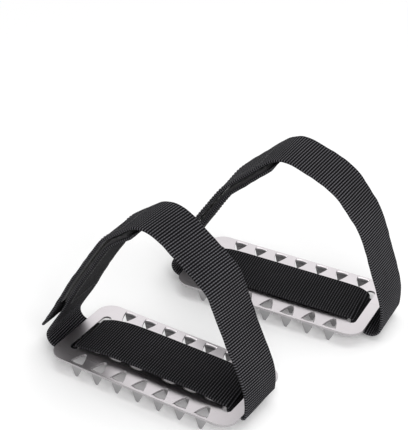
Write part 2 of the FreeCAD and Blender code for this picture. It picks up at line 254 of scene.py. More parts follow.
@dataclass(frozen=True)
class LoopShape:
    """How one crampon's webbing hangs, in millimetres.

    Sizes ending in _in and _out count inboard and outboard of the plate's end, _drop down from
    the apex, _height up from the plate's top face, _sag down from the run under the bar, and
    _curve is the bend radius at that corner. The short end stops short_setback below the apex,
    and the run over the plate bows up between two bends that lie bow_in from the plate's ends.
    """

    run_rise: float
    right_out: float
    right_sag: float
    right_curve: float
    knee_out: float
    knee_height: float
    knee_curve: float
    shoulder_in: float
    shoulder_drop: float
    shoulder_curve: float
    crown_in: float
    crown_drop: float
    crown_curve: float
    apex_shift: float
    apex_height: float
    apex_curve: float
    brow_in: float
    brow_drop: float
    brow_curve: float
    elbow_in: float
    elbow_drop: float
    elbow_curve: float
    flare_out: float
    flare_height: float
    flare_curve: float
    tail_out: float
    tail_height: float
    left_out: float
    left_sag: float
    left_curve: float
    short_setback: float = 6.0
    bow_in: float = 25.0
    bow_curve: float = 60.0


FRONT_LOOP = LoopShape(
    run_rise=2.3, right_out=1.35, right_sag=0.0, right_curve=1.9,
    knee_out=1.65, knee_height=11.6, knee_curve=40.0,
    shoulder_in=23.1, shoulder_drop=24.7, shoulder_curve=12.0,
    crown_in=50.4, crown_drop=4.8, crown_curve=25.0,
    apex_shift=-8.0, apex_height=88.6, apex_curve=14.0,
    brow_in=24.8, brow_drop=17.0, brow_curve=25.0,
    elbow_in=5.6, elbow_drop=50.0, elbow_curve=120.0,
    flare_out=3.6, flare_height=20.0, flare_curve=60.0,
    tail_out=11.7, tail_height=5.2,
    left_out=14.0, left_sag=4.65, left_curve=5.5)

BACK_LOOP = LoopShape(
    run_rise=0.4, right_out=7.55, right_sag=6.05, right_curve=6.0,
    knee_out=7.55, knee_height=12.0, knee_curve=40.0,
    shoulder_in=8.3, shoulder_drop=33.4, shoulder_curve=45.0,
    crown_in=25.6, crown_drop=11.6, crown_curve=35.0,
    apex_shift=-2.7, apex_height=88.6, apex_curve=17.0,
    brow_in=19.9, brow_drop=30.9, brow_curve=40.0,
    elbow_in=7.0, elbow_drop=51.9, elbow_curve=120.0,
    flare_out=2.6, flare_height=19.7, flare_curve=60.0,
    tail_out=9.7, tail_height=7.8,
    left_out=12.5, left_sag=4.65, left_curve=5.5)


@dataclass(frozen=True)
class Place:
    """Where a plate's own frame stands in the row frame, in metres and radians."""

    origin: np.ndarray
    yaw: float

    @classmethod
    def of_plate(cls, side: Side, frame: dict) -> "Place":
        """The place of one plate, from its node's box and its lean joint's axis.

        Args:
            side: which crampon.

        Returns:
            The plate's own frame, with its zero in the middle of the top face.
        """
        low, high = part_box(side.value + "_spike_plate")
        axis = next(joint["axis"] for joint in frame["joints"]
                    if joint["name"] == side.value + "_loop_lean")
        origin = np.array([(low.x + high.x) / 2, (low.y + high.y) / 2, high.z])
        return cls(origin, math.atan2(axis[1], axis[0]))

    def to_row(self, points: np.ndarray) -> np.ndarray:
        """Places of the plate's frame, as places in the row frame.

        u and v turn by the yaw, and everything moves by the origin.

        Args:
            points: (..., 3) places in millimetres.

        Returns:
            The same places in metres.
        """
        u, v, z = points[..., 0], points[..., 1], points[..., 2]
        cos, sin = math.cos(self.yaw), math.sin(self.yaw)
        turned = np.stack([u * cos - v * sin, u * sin + v * cos, z], axis=-1)
        return turned * MM + self.origin


# ---------------------------------------------------------------- meshes


def signed_volume(points: np.ndarray, quads: np.ndarray) -> float:
    """Volume inside closed quads: the sum over triangles of a . (b x c) / 6.

    Args:
        points: (n, 3) places.
        quads: (f, 4) corner numbers.

    Returns:
        The volume, negative where the faces point inwards.
    """
    a, b, c, d = (points[quads[:, i]] for i in range(4))
    return float((np.einsum("ij,ij->i", a, np.cross(b, c))
                  + np.einsum("ij,ij->i", a, np.cross(c, d))).sum() / 6)


def linked(name: str, data: bpy.types.ID) -> bpy.types.Object:
    """A new object that holds the data, in the scene and at the origin.

    Args:
        name: the object's name.
        data: its mesh, lamp or camera.

    Returns:
        The object.
    """
    made = bpy.data.objects.new(name, data)
    bpy.context.scene.collection.objects.link(made)
    return made


def quad_mesh(name: str, points: np.ndarray, quads: np.ndarray,
              uv: np.ndarray | None = None, smooth: bool = True) -> bpy.types.Object:
    """A mesh object from whole arrays, with its faces turned outwards.

    Args:
        name: the object's name.
        points: (n, 3) places in metres.
        quads: (f, 4) corner numbers.
        uv: (n, 2) map coordinates of the points, or None.
        smooth: whether the faces are shaded smooth.

    Returns:
        The linked object, at the origin.
    """
    centred = points - points.mean(axis=0)
    if signed_volume(centred, quads) < 0:
        quads = quads[:, ::-1]
    mesh = bpy.data.meshes.new(name)
    mesh.vertices.add(len(points))
    mesh.vertices.foreach_set("co", points.astype(np.float32).ravel())
    mesh.loops.add(quads.size)
    mesh.loops.foreach_set("vertex_index", quads.astype(np.int32).ravel())
    mesh.polygons.add(len(quads))
    mesh.polygons.foreach_set("loop_start", np.arange(0, quads.size, 4, dtype=np.int32))
    mesh.polygons.foreach_set("loop_total", np.full(len(quads), 4, dtype=np.int32))
    mesh.polygons.foreach_set("use_smooth", np.full(len(quads), smooth))
    if uv is not None:
        layer = mesh.uv_layers.new(name="weave")
        layer.data.foreach_set("uv", uv[quads.ravel()].astype(np.float32).ravel())
    mesh.update(calc_edges=True)
    mesh.validate()
    return linked(name, mesh)


def point_attribute(piece: bpy.types.Object, name: str, values: np.ndarray) -> None:
    """Keep one number per point of a mesh, for its material to read."""
    attribute = piece.data.attributes.new(name, "FLOAT", "POINT")
    attribute.data.foreach_set("value", values.astype(np.float32))


def ring_quads(rings: int, around: int) -> np.ndarray:
    """Quads of a tube of closed rings, with its two ends closed by strips.

    Each ring's points i and around - 1 - i lie opposite each other, so an end is closed by
    quads from one half of the ring to the other.

    Args:
        rings: how many rings, whose points follow one another.
        around: points in a ring, an even number.

    Returns:
        (f, 4) corner numbers.
    """
    ring, point = np.meshgrid(np.arange(rings - 1), np.arange(around), indexing="ij")
    after = (point + 1) % around
    side = np.stack([ring * around + point, ring * around + after,
                     (ring + 1) * around + after, (ring + 1) * around + point], axis=-1)
    i = np.arange(around // 2 - 1)
    cap = np.stack([i, around - 1 - i, around - 2 - i, i + 1], axis=-1)
    far = cap[:, ::-1] + (rings - 1) * around
    return np.concatenate([side.reshape(-1, 4), cap, far])


def tubes(paths: np.ndarray, radius: np.ndarray, around: int = 4) -> tuple[np.ndarray, np.ndarray]:
    """Closed tubes along many short paths at once.

    A ring's points are path + radius * (cos a * side + sin a * lift), where side and lift
    stand square to the path's heading.

    Args:
        paths: (count, steps, 3) centre lines.
        radius: (steps,) tube radius along each path.
        around: points in a ring, an even number.

    Returns:
        All points, and the quads that join them.
    """
    heading = np.gradient(paths, axis=1)
    heading /= np.linalg.norm(heading, axis=-1, keepdims=True) + TINY
    across = np.abs(heading[..., :1]) < NEARLY_ALONG
    guide = np.where(across, [1.0, 0.0, 0.0], [0.0, 1.0, 0.0])
    side = np.cross(heading, guide)
    side /= np.linalg.norm(side, axis=-1, keepdims=True)
    lift = np.cross(heading, side)
    angle = (np.arange(around) + 0.5) * 2 * math.pi / around
    ring = np.cos(angle)[:, None] * side[..., None, :] + np.sin(angle)[:, None] * lift[..., None, :]
    points = paths[..., None, :] + ring * radius[None, :, None, None]
    one = ring_quads(paths.shape[1], around)
    starts = np.arange(len(paths)) * paths.shape[1] * around
    quads = (one[None] + starts[:, None, None]).reshape(-1, 4)
    return points.reshape(-1, 3), quads


def waves(place: np.ndarray, seed: int, longest: float, count: int = 5) -> np.ndarray:
    """Smooth unevenness of about unit height: a sum of sines of falling length and height.

    Args:
        place: where it is wanted.
        seed: which unevenness.
        longest: length of the first sine, in the unit of place.
        count: how many sines.

    Returns:
        The unevenness at every place.
    """
    shrink, fade, scatter = 0.62, 0.7, (0.85, 1.15)
    draw = np.random.default_rng(seed)
    total = np.zeros_like(place, dtype=float)
    for octave in range(count):
        length = longest * shrink ** octave * draw.uniform(*scatter)
        total += fade ** octave * np.sin(2 * math.pi * (place / length + draw.uniform()))
    return total / 2


def arched(place: np.ndarray, power: float) -> np.ndarray:
    """A row of round crests one unit apart: |sin(pi x)| to a power."""
    return np.abs(np.sin(math.pi * place)) ** power


def smoothstep(value: np.ndarray, low: float, high: float) -> np.ndarray:
    """0 below low, 1 above high, and 3q^2 - 2q^3 between."""
    q = np.clip((value - low) / (high - low), 0, 1)
    return q * q * (3 - 2 * q)


# ---------------------------------------------------------------- the webbing's line


class WebbingLine:
    """Centre line of one crampon's whole length of webbing, in its plate's u-z plane."""

    STEP = 0.05
    LEAST_STEPS = 4
    SOFTEN = 2.6
    SLOT_SPAN = (-2.0, 16.0)

    def __init__(self, plate: PlateSize, web: WebSize, loop: LoopShape) -> None:
        """Work the line out from its corners, then soften it away from the slots.

        Args:
            plate: the plate's sizes.
            web: the webbing's sizes.
            loop: how this webbing hangs.
        """
        self.marks: dict[str, float] = {}
        raw = self._rounded(self._corners(plate, web, loop))
        walked = np.concatenate([[0], np.cumsum(np.linalg.norm(np.diff(raw, axis=0), axis=1))])
        self.length = float(walked[-1])
        self.station = np.linspace(0, self.length, int(self.length / self.STEP))
        self.line = np.stack([np.interp(self.station, walked, raw[:, i]) for i in (0, 1)], axis=1)
        self._soften()
        heading = np.gradient(self.line, axis=0)
        heading /= np.linalg.norm(heading, axis=1, keepdims=True)
        self.left = np.stack([-heading[:, 1], heading[:, 0]], axis=1)

    @staticmethod
    def _shifted(corners: np.ndarray, distance: float) -> np.ndarray:
        """The corners of a broken line moved to its left, each by its two normals' miter.

        Args:
            corners: (n, 2) places along the line.
            distance: how far every straight run moves.

        Returns:
            The moved corners.
        """
        heading = np.diff(corners, axis=0)
        heading /= np.linalg.norm(heading, axis=1, keepdims=True)
        normal = np.stack([-heading[:, 1], heading[:, 0]], axis=1)
        first = np.vstack([normal[:1], normal])
        last = np.vstack([normal, normal[-1:]])
        miter = first + last
        return corners + miter * (distance / np.einsum("ij,ij->i", miter, first))[:, None]

    def _corners(self, plate: PlateSize, web: WebSize,
                 loop: LoopShape) -> list[tuple[str, np.ndarray, float]]:
        """Every corner of the line, from the short end's cut to the long end's.

        Args:
            plate: the plate's sizes.
            web: the webbing's sizes.
            loop: how this webbing hangs.

        Returns:
            The name, place and bend radius of each corner, in order.
        """
        half = plate.length / 2
        slot = half - plate.end_bar - plate.slot_width / 2
        over = web.gap + web.thick / 2
        under = -plate.thick - web.bar_gap - web.thick / 2
        crest = loop.apex_height
        places = {
            "knee": (half + loop.knee_out, loop.knee_height),
            "shoulder": (half - loop.shoulder_in, crest - loop.shoulder_drop),
            "crown": (half - loop.crown_in, crest - loop.crown_drop),
            "apex": (loop.apex_shift, crest),
            "brow": (loop.brow_in - half, crest - loop.brow_drop),
            "elbow": (loop.elbow_in - half, crest - loop.elbow_drop),
            "flare": (-half - loop.flare_out, loop.flare_height),
            "tail": (-half - loop.tail_out, loop.tail_height),
        }
        stack = web.thick + web.hook_thick + web.gap + web.pile_thick
        inner = self._shifted(np.array(list(places.values())), stack)
        apex, brow, elbow, heel = inner[3:7]
        cut = apex + (brow - apex) / np.linalg.norm(brow - apex) * loop.short_setback
        level = over + loop.run_rise
        bend = web.thick
        corners = [
            ("short_cut", cut, 0.0),
            ("short_brow", brow, loop.brow_curve - stack),
            ("short_elbow", elbow, loop.elbow_curve - stack),
            ("heel", heel, loop.flare_curve),
            ("left_curl", (-half - loop.left_out, under - loop.left_sag), loop.left_curve),
            ("left_slot_foot", (-slot, under), bend),
            ("left_slot_head", (-slot, over), bend),
            ("run_left", (loop.bow_in - half, level), loop.bow_curve),
            ("run_right", (half - loop.bow_in, level), loop.bow_curve),
            ("right_slot_head", (slot, over), bend),
            ("right_slot_foot", (slot, under), bend),
            ("right_curl", (half + loop.right_out, under - loop.right_sag), loop.right_curve),
        ]
        corners += [(name, place, getattr(loop, name + "_curve", 0.0))
                    for name, place in places.items()]
        return [(name, np.array(place, float), radius) for name, place, radius in corners]

    def _rounded(self, corners: list[tuple[str, np.ndarray, float]]) -> np.ndarray:
        """Straight runs joined by tangent arcs.

        A corner that turns by a, with bend radius r, is left out from r tan(a / 2) before it,
        and its arc is the first point's spoke from the centre turned from 0 to a. The middle of
        each bend is kept as a mark.

        Args:
            corners: the name, place and bend radius of each corner.

        Returns:
            (n, 2) places along the line.
        """
        places = [place for _, place, _ in corners]
        here, walked, samples = places[0], 0.0, [places[0][None]]
        for (name, corner, radius), before, after in zip(corners[1:], places, places[2:]):
            inward = (corner - before) / np.linalg.norm(corner - before)
            onward = (after - corner) / np.linalg.norm(after - corner)
            cross = inward[0] * onward[1] - inward[1] * onward[0]
            turn = math.atan2(cross, float(inward @ onward))
            setback = radius * math.tan(abs(turn) / 2)
            first = corner - inward * setback
            left = np.array([-inward[1], inward[0]])
            centre = first + left * math.copysign(radius, turn)
            run, bend = float(np.linalg.norm(first - here)), radius * abs(turn)
            angle = np.linspace(0, turn, max(self.LEAST_STEPS, int(bend / self.STEP)))[:, None]
            spoke = first - centre
            turned = np.array([-spoke[1], spoke[0]])
            samples.append(centre + np.cos(angle) * spoke + np.sin(angle) * turned)
            self.marks[name] = walked + run + bend / 2
            walked += run + bend
            here = corner + onward * setback
        return np.vstack(samples + [places[-1][None]])

    def _soften(self) -> None:
        """Spread each bend over a few more millimetres, by a Gaussian mean along the line.

        The mean counts fully in the loop and not at all between the two slots. Its bell curve
        is cut off at three times its width.
        """
        reach = int(3 * self.SOFTEN / self.STEP)
        steps = np.arange(-reach, reach + 1) * self.STEP
        kernel = np.exp(-0.5 * (steps / self.SOFTEN) ** 2)
        kernel /= kernel.sum()
        padded = np.pad(self.line, ((reach, reach), (0, 0)), "reflect", reflect_type="odd")
        mean = np.stack([np.convolve(padded[:, i], kernel, "valid") for i in (0, 1)], axis=1)
        before = smoothstep(self.marks["left_curl"] - self.station, *self.SLOT_SPAN)
        after = smoothstep(self.station - self.marks["right_curl"], *self.SLOT_SPAN)
        share = (before + after)[:, None]
        self.line = self.line * (1 - share) + mean * share

    def on(self, station: np.ndarray, shift: np.ndarray, across: np.ndarray) -> np.ndarray:
        """Points at stations along the line, moved towards the boot and across the webbing.

        A point is line(station) + shift * left(station), with v = across.

        Args:
            station: distance along the line.
            shift: distance towards the boot.
            across: place across the webbing.

        Returns:
            Places (..., 3) in the plate's frame.
        """
        u, z = (np.interp(station, self.station, self.line[:, i]) for i in (0, 1))
        nu, nz = (np.interp(station, self.station, self.left[:, i]) for i in (0, 1))
        return np.stack(np.broadcast_arrays(u + nu * shift, across, z + nz * shift), axis=-1)

    def at_height(self, low: float, high: float, height: float) -> float:
        """The station at which the line comes nearest to a height.

        Args:
            low: first station to look at.
            high: last station to look at.
            height: height over the plate's top face.

        Returns:
            That station.
        """
        span = (self.station >= low) & (self.station <= high)
        station, line = self.station[span], self.line[span]
        return float(station[np.argmin(np.abs(line[:, 1] - height))])


# ---------------------------------------------------------------- shared shader groups


def add_node(tree: bpy.types.NodeTree, kind: str, inputs: dict | None = None,
             **settings: object) -> bpy.types.Node:
    """A node of a tree, with its settings made and its inputs set or linked.

    Args:
        tree: the material's or group's tree.
        kind: the node's type.
        inputs: input names or numbers, each with a value or the socket that feeds it.
        settings: the node's own properties.

    Returns:
        The node.
    """
    node = tree.nodes.new(kind)
    for name, value in settings.items():
        setattr(node, name, value)
    for key, value in (inputs or {}).items():
        if isinstance(value, bpy.types.NodeSocket):
            tree.links.new(value, node.inputs[key])
        else:
            node.inputs[key].default_value = value
    return node


def maths(tree: bpy.types.NodeTree, operation: str, *values: object) -> bpy.types.NodeSocket:
    """The result of a Math node on values or sockets."""
    node = add_node(tree, "ShaderNodeMath", dict(enumerate(values)), operation=operation)
    return node.outputs[0]


def mixed(tree: bpy.types.NodeTree, share: object, one: object,
          two: object) -> bpy.types.NodeSocket:
    """Colour one where the share is 0, and two where it is 1."""
    node = add_node(tree, "ShaderNodeMix", {0: share, 6: one, 7: two}, data_type="RGBA")
    return node.outputs[2]


def scaled(tree: bpy.types.NodeTree, vector: bpy.types.NodeSocket,
           scale: tuple[float, float, float]) -> bpy.types.NodeSocket:
    """A vector stretched by a Mapping node."""
    return add_node(tree, "ShaderNodeMapping", {0: vector, "Scale": scale}).outputs[0]


def noise(tree: bpy.types.NodeTree, vector: bpy.types.NodeSocket, scale: object,
          detail: float, roughness: float) -> bpy.types.NodeSocket:
    """Noise from 0 to 1 at a vector.

    Args:
        tree: the material's or group's tree.
        vector: where the noise is read.
        scale: its fineness, a number or a socket.
        detail: how many finer layers it has.
        roughness: how strong the finer layers are.

    Returns:
        The noise.
    """
    node = add_node(tree, "ShaderNodeTexNoise", {"Vector": vector, "Scale": scale,
                                                 "Detail": detail, "Roughness": roughness})
    return node.outputs[0]


def spread(tree: bpy.types.NodeTree, value: bpy.types.NodeSocket, low: object,
           high: object) -> bpy.types.NodeSocket:
    """A value made to run from 0 at low to 1 at high."""
    node = add_node(tree, "ShaderNodeMapRange", {"Value": value, "From Min": low, "From Max": high})
    return node.outputs[0]


def attribute(tree: bpy.types.NodeTree, name: str) -> bpy.types.NodeSocket:
    """The number that a mesh keeps under a name at each point."""
    return add_node(tree, "ShaderNodeAttribute", attribute_name=name).outputs["Fac"]


def dress(tree: bpy.types.NodeTree, colour: bpy.types.NodeSocket, rough: bpy.types.NodeSocket,
          height: bpy.types.NodeSocket, strength: float, depth: float) -> None:
    """Feed a material's shader with its changing colour, roughness and relief.

    Args:
        tree: the material's tree.
        colour: what feeds Base Color.
        rough: what feeds Roughness.
        height: the relief, from 0 to 1.
        strength: how much of the relief shows.
        depth: the relief's depth in metres.
    """
    shader = tree.nodes["Principled BSDF"]
    bump = add_node(tree, "ShaderNodeBump", {"Height": height, "Strength": strength,
                                             "Distance": depth})
    for label, socket in (("Base Color", colour), ("Roughness", rough), ("Normal", bump.outputs[0])):
        tree.links.new(socket, shader.inputs[label])


def new_group(name: str, inputs: dict[str, tuple[str, object]],
              outputs: dict[str, str]) -> tuple[bpy.types.NodeTree, bpy.types.Node, bpy.types.Node]:
    """An empty shader group with its named sockets.

    Args:
        name: the group's name.
        inputs: socket names, each with its type and its default value.
        outputs: socket names, each with its type.

    Returns:
        The group, its input node and its output node.
    """
    group = bpy.data.node_groups.new(name, "ShaderNodeTree")
    for label, (kind, default) in inputs.items():
        socket = group.interface.new_socket(label, in_out="INPUT", socket_type=kind)
        if default is not None:
            socket.default_value = default
    for label, kind in outputs.items():
        group.interface.new_socket(label, in_out="OUTPUT", socket_type=kind)
    return group, group.nodes.new("NodeGroupInput"), group.nodes.new("NodeGroupOutput")


def rib_weave_group() -> bpy.types.NodeTree:
    """Ribbed webbing: ribs across it, each with a row of warp yarns.

    The map counts ribs along the webbing (x) and warp yarns across it (y). Crests and yarns are
    |sin(pi x)| and |sin(pi y)|, each to a power, and the height is the crest, lower between its
    yarns and roughened by fibres.

    Returns:
        The group.
    """
    number, vector = "NodeSocketFloat", "NodeSocketVector"
    crest_power, yarn_power = 7.0, WebSize().yarn_power
    yarn_height, fibre_height = 0.6, 0.22
    fibre_stretch = (0.6, 7.0, 1.0)
    group, given, out = new_group(
        "rib_weave", {"Map": (vector, None), "Fibre scale": (number, 3.0)},
        {"Crest": number, "Yarn": number, "Fibre": number, "Height": number})
    split = add_node(group, "ShaderNodeSeparateXYZ", {0: given.outputs["Map"]})
    crest, yarn = (
        maths(group, "POWER", maths(group, "ABSOLUTE", maths(
            group, "SINE", maths(group, "MULTIPLY", place, math.pi))), power)
        for place, power in ((split.outputs[0], crest_power), (split.outputs[1], yarn_power)))
    fibre = noise(group, scaled(group, given.outputs["Map"], fibre_stretch),
                  given.outputs["Fibre scale"], detail=3.0, roughness=0.6)
    height = maths(group, "MULTIPLY", crest,
                   maths(group, "MULTIPLY_ADD", yarn, yarn_height, 1.0 - yarn_height))
    height = maths(group, "MULTIPLY_ADD", fibre, fibre_height, height)
    for label, value in (("Crest", crest), ("Yarn", yarn), ("Fibre", fibre), ("Height", height)):
        group.links.new(value, out.inputs[label])
    return group


def mottle_group() -> bpy.types.NodeTree:
    """Soft uneven patches: noise in object space, spread to run from 0 to 1.

    Returns:
        The group.
    """
    group, given, out = new_group(
        "mottle", {"Scale": ("NodeSocketFloat", 60.0), "Low": ("NodeSocketFloat", 0.35),
                   "High": ("NodeSocketFloat", 0.65)}, {"Mask": "NodeSocketFloat"})
    place = add_node(group, "ShaderNodeTexCoord")
    patches = noise(group, place.outputs["Object"], given.outputs["Scale"], detail=4.0,
                    roughness=0.55)
    mask = spread(group, patches, given.outputs["Low"], given.outputs["High"])
    group.links.new(mask, out.inputs["Mask"])
    return group


def brushed_group() -> bpy.types.NodeTree:
    """Fine rolled grain along one way: noise in object space, stretched along the plate.

    Returns:
        The group.
    """
    number = "NodeSocketFloat"
    fine, coarse, scratched = (90.0, 4200.0, 900.0), (22.0, 1500.0, 400.0), (0.62, 0.78)
    group, given, out = new_group(
        "brushed_grain", {"Turn": (number, 0.0), "Fineness": (number, 1.0)},
        {"Grain": number, "Scratch": number})
    place = add_node(group, "ShaderNodeTexCoord")
    angle = add_node(group, "ShaderNodeCombineXYZ", {2: given.outputs["Turn"]})
    turned = add_node(group, "ShaderNodeVectorRotate",
                      {"Vector": place.outputs["Object"], "Rotation": angle.outputs[0]},
                      rotation_type="EULER_XYZ")
    grain, streaks = (noise(group, scaled(group, turned.outputs[0], stretch),
                            given.outputs["Fineness"], detail, roughness=0.6)
                      for stretch, detail in ((fine, 3.0), (coarse, 2.0)))
    group.links.new(grain, out.inputs["Grain"])
    group.links.new(spread(group, streaks, *scratched), out.inputs["Scratch"])
    return group


def placed_group(tree: bpy.types.NodeTree, group: bpy.types.NodeTree,
                 **inputs: object) -> bpy.types.Node:
    """A shared group placed in a material, with its own values."""
    return add_node(tree, "ShaderNodeGroup", inputs, node_tree=group)


class ShaderGroups:
    """The shared shader groups, each built once."""

    def __init__(self) -> None:
        """Build every group."""
        self.weave = rib_weave_group()
        self.mottle = mottle_group()
        self.brushed = brushed_group()


# ---------------------------------------------------------------- finishes


def new_material(name: str, sockets: dict[str, float]) -> bpy.types.Material:
    """A material with one Principled shader whose even sockets are set directly.

    Args:
        name: the material's name.
        sockets: names of the shader's sockets, each with its value.

    Returns:
        The material.
    """
    material = bpy.data.materials.new(name)
    material.use_nodes = True
    shader = material.node_tree.nodes["Principled BSDF"]
    for label, value in sockets.items():
        shader.inputs[label].default_value = value
    return material


@dataclass(frozen=True)
class WebbingFinish:
    """Charcoal ribbed webbing, with a painted highlight on its crests and painted shade in its
    near-black grooves.

    The shares say how far the yarns, worn patches and loose fibres change the ribs' colour; the
    yarns' share is painted shade between the yarns on each crest.
    """

    name: str
    crest: Colour
    groove: Colour
    smooth_dark: Colour
    yarn_share: float = 0.95
    between_yarns: float = 0.12
    worn_share: float = 0.22
    fuzz_share: float = 0.03
    patch_scale: float = 45.0
    roughness: float = 0.52
    fibre_roughness: float = 0.25
    relief: float = 0.6
    relief_depth: float = 0.00022

    def make(self, groups: ShaderGroups) -> bpy.types.Material:
        """The material; one mesh attribute darkens the ribs as painted shade, and another makes the
        face smoother and darker.

        Args:
            groups: the shared shader groups.

        Returns:
            The material.
        """
        material = new_material(self.name, {"Sheen Weight": 0.01, "Sheen Roughness": 0.4,
                                            "Specular IOR Level": 0.03})
        tree = material.node_tree
        count = add_node(tree, "ShaderNodeUVMap", uv_map="weave")
        weave = placed_group(tree, groups.weave, Map=count.outputs[0])
        patch = placed_group(tree, groups.mottle, Scale=self.patch_scale)
        # Painted light and shade of the ribs: the crest colour is a painted highlight along each rib
        # and the groove colour painted shade, dimmed between the yarns.
        shown = maths(tree, "MULTIPLY", weave.outputs["Crest"], maths(
            tree, "MULTIPLY_ADD", weave.outputs["Yarn"], self.yarn_share, self.between_yarns))
        colour = mixed(tree, shown, self.groove, self.crest)
        worn = maths(tree, "MULTIPLY", patch.outputs["Mask"], self.worn_share)
        fuzz = maths(tree, "MULTIPLY", weave.outputs["Fibre"], self.fuzz_share)
        # Random worn patches and loose fibres, then painted shade on the sole run, then the
        # smoother, darker face of the short end.
        for share, tint in ((worn, self.groove), (fuzz, self.crest),
                            (attribute(tree, "painted_shade"), self.groove),
                            (attribute(tree, "smooth_dark"), self.smooth_dark)):
            colour = mixed(tree, share, colour, tint)
        rough = maths(tree, "MULTIPLY_ADD", weave.outputs["Fibre"], self.fibre_roughness,
                      self.roughness)
        dress(tree, colour, rough, weave.outputs["Height"], self.relief, self.relief_depth)
        return material


@dataclass(frozen=True)
class SteelFinish:
    """Satin stainless sheet with rolled grain, or its bright sheared edge.

    The teeth carry painted shade, darker the further they hang below the top face, and their
    folds a darker painted shade that damps the folds' highlight. Turn is the angle of the
    grain, and the sizes ending in _rough are added to the roughness where their mask is 1.
    """

    name: str
    light: Colour
    dark: Colour
    tooth_shade: Colour
    fold_shade: Colour
    roughness: float
    grain_rough: float
    turn: float = 0.0
    scratch_rough: float = -0.08
    tooth_rough: float = 0.12
    fold_rough: float = 0.25
    patch_scale: float = 28.0
    patch_share: float = 0.35
    grain_share: float = 0.5
    relief: float = 0.10
    relief_depth: float = 0.00003

    def make(self, groups: ShaderGroups) -> bpy.types.Material:
        """The material, its grain along the plate.

        Args:
            groups: the shared shader groups.

        Returns:
            The material.
        """
        material = new_material(self.name, {"Metallic": 1.0, "Anisotropic": 0.35})
        tree = material.node_tree
        grain = placed_group(tree, groups.brushed, Turn=self.turn)
        patch = placed_group(tree, groups.mottle, Scale=self.patch_scale)
        tooth_shade, fold_shade = attribute(tree, "tooth_shade"), attribute(tree, "fold_shade")
        tone = maths(tree, "MULTIPLY_ADD", patch.outputs["Mask"], self.patch_share, maths(
            tree, "MULTIPLY", grain.outputs["Grain"], self.grain_share))
        colour = mixed(tree, tone, self.light, self.dark)
        # Painted shade: darker on the teeth, and darker still over their folds.
        colour = mixed(tree, tooth_shade, colour, self.tooth_shade)
        colour = mixed(tree, fold_shade, colour, self.fold_shade)
        rough = self.roughness
        for mask, change in ((grain.outputs["Grain"], self.grain_rough),
                             (grain.outputs["Scratch"], self.scratch_rough),
                             (tooth_shade, self.tooth_rough), (fold_shade, self.fold_rough)):
            rough = maths(tree, "MULTIPLY_ADD", mask, change, rough)
        dress(tree, colour, rough, grain.outputs["Grain"], self.relief, self.relief_depth)
        return material


@dataclass(frozen=True)
class YarnFinish:
    """Dyed thread, hooks or pile: a dark fibre with a little variation along it."""

    name: str
    base: Colour
    tip: Colour
    roughness: float
    patch_scale: float
    patch_rough: float = 0.2
    relief: float = 0.4
    relief_depth: float = 0.0001

    def make(self, groups: ShaderGroups) -> bpy.types.Material:
        """The material, its patches read in object space.

        Args:
            groups: the shared shader groups.

        Returns:
            The material.
        """
        material = new_material(self.name, {"Sheen Weight": 0.25, "Sheen Roughness": 0.5})
        tree = material.node_tree
        patch = placed_group(tree, groups.mottle, Scale=self.patch_scale).outputs["Mask"]
        rough = maths(tree, "MULTIPLY_ADD", patch, self.patch_rough, self.roughness)
        dress(tree, mixed(tree, patch, self.base, self.tip), rough, patch, self.relief,
              self.relief_depth)
        return material


class Finishes:
    """Every material of the pair."""

    def __init__(self, groups: ShaderGroups) -> None:
        """Make them all.

        Args:
            groups: the shared shader groups.
        """
        # The crest colour is a painted highlight, the groove colour painted shade.
        self.webbing = WebbingFinish(
            "charcoal_webbing", crest=(0.130, 0.128, 0.140, 1), groove=(0.0006, 0.0006, 0.0008, 1),
            smooth_dark=(0.007, 0.0065, 0.008, 1)).make(groups)
        # The teeth's and folds' colours are painted shade.
        self.steel = {side: SteelFinish(
            side.value + "_satin_steel", light=(0.78, 0.74, 0.76, 1), dark=(0.60, 0.57, 0.59, 1),
            tooth_shade=(0.38, 0.375, 0.38, 1), fold_shade=(0.17, 0.165, 0.17, 1), roughness=0.24,
            grain_rough=0.16, turn=turn).make(groups)
            for side, turn in ((Side.FRONT, 0.0), (Side.BACK, -0.096))}
        # The sheared edges of the teeth and folds take painted shade too.
        self.cut_edge = SteelFinish(
            "sheared_steel_edge", light=(0.50, 0.48, 0.49, 1), dark=(0.34, 0.33, 0.34, 1),
            tooth_shade=(0.46, 0.45, 0.46, 1), fold_shade=(0.30, 0.29, 0.30, 1), roughness=0.20,
            grain_rough=0.15).make(groups)
        self.hooks = YarnFinish("hook_nylon", (0.010, 0.010, 0.012, 1), (0.035, 0.035, 0.040, 1),
                                roughness=0.35, patch_scale=300.0).make(groups)
        self.pile = YarnFinish("pile_nylon", (0.006, 0.006, 0.007, 1), (0.030, 0.030, 0.033, 1),
                               roughness=0.75, patch_scale=500.0).make(groups)
        self.thread = YarnFinish("black_thread", (0.006, 0.006, 0.007, 1), (0.022, 0.022, 0.024, 1),
                                 roughness=0.55, patch_scale=700.0).make(groups)


# ---------------------------------------------------------------- the spike plate


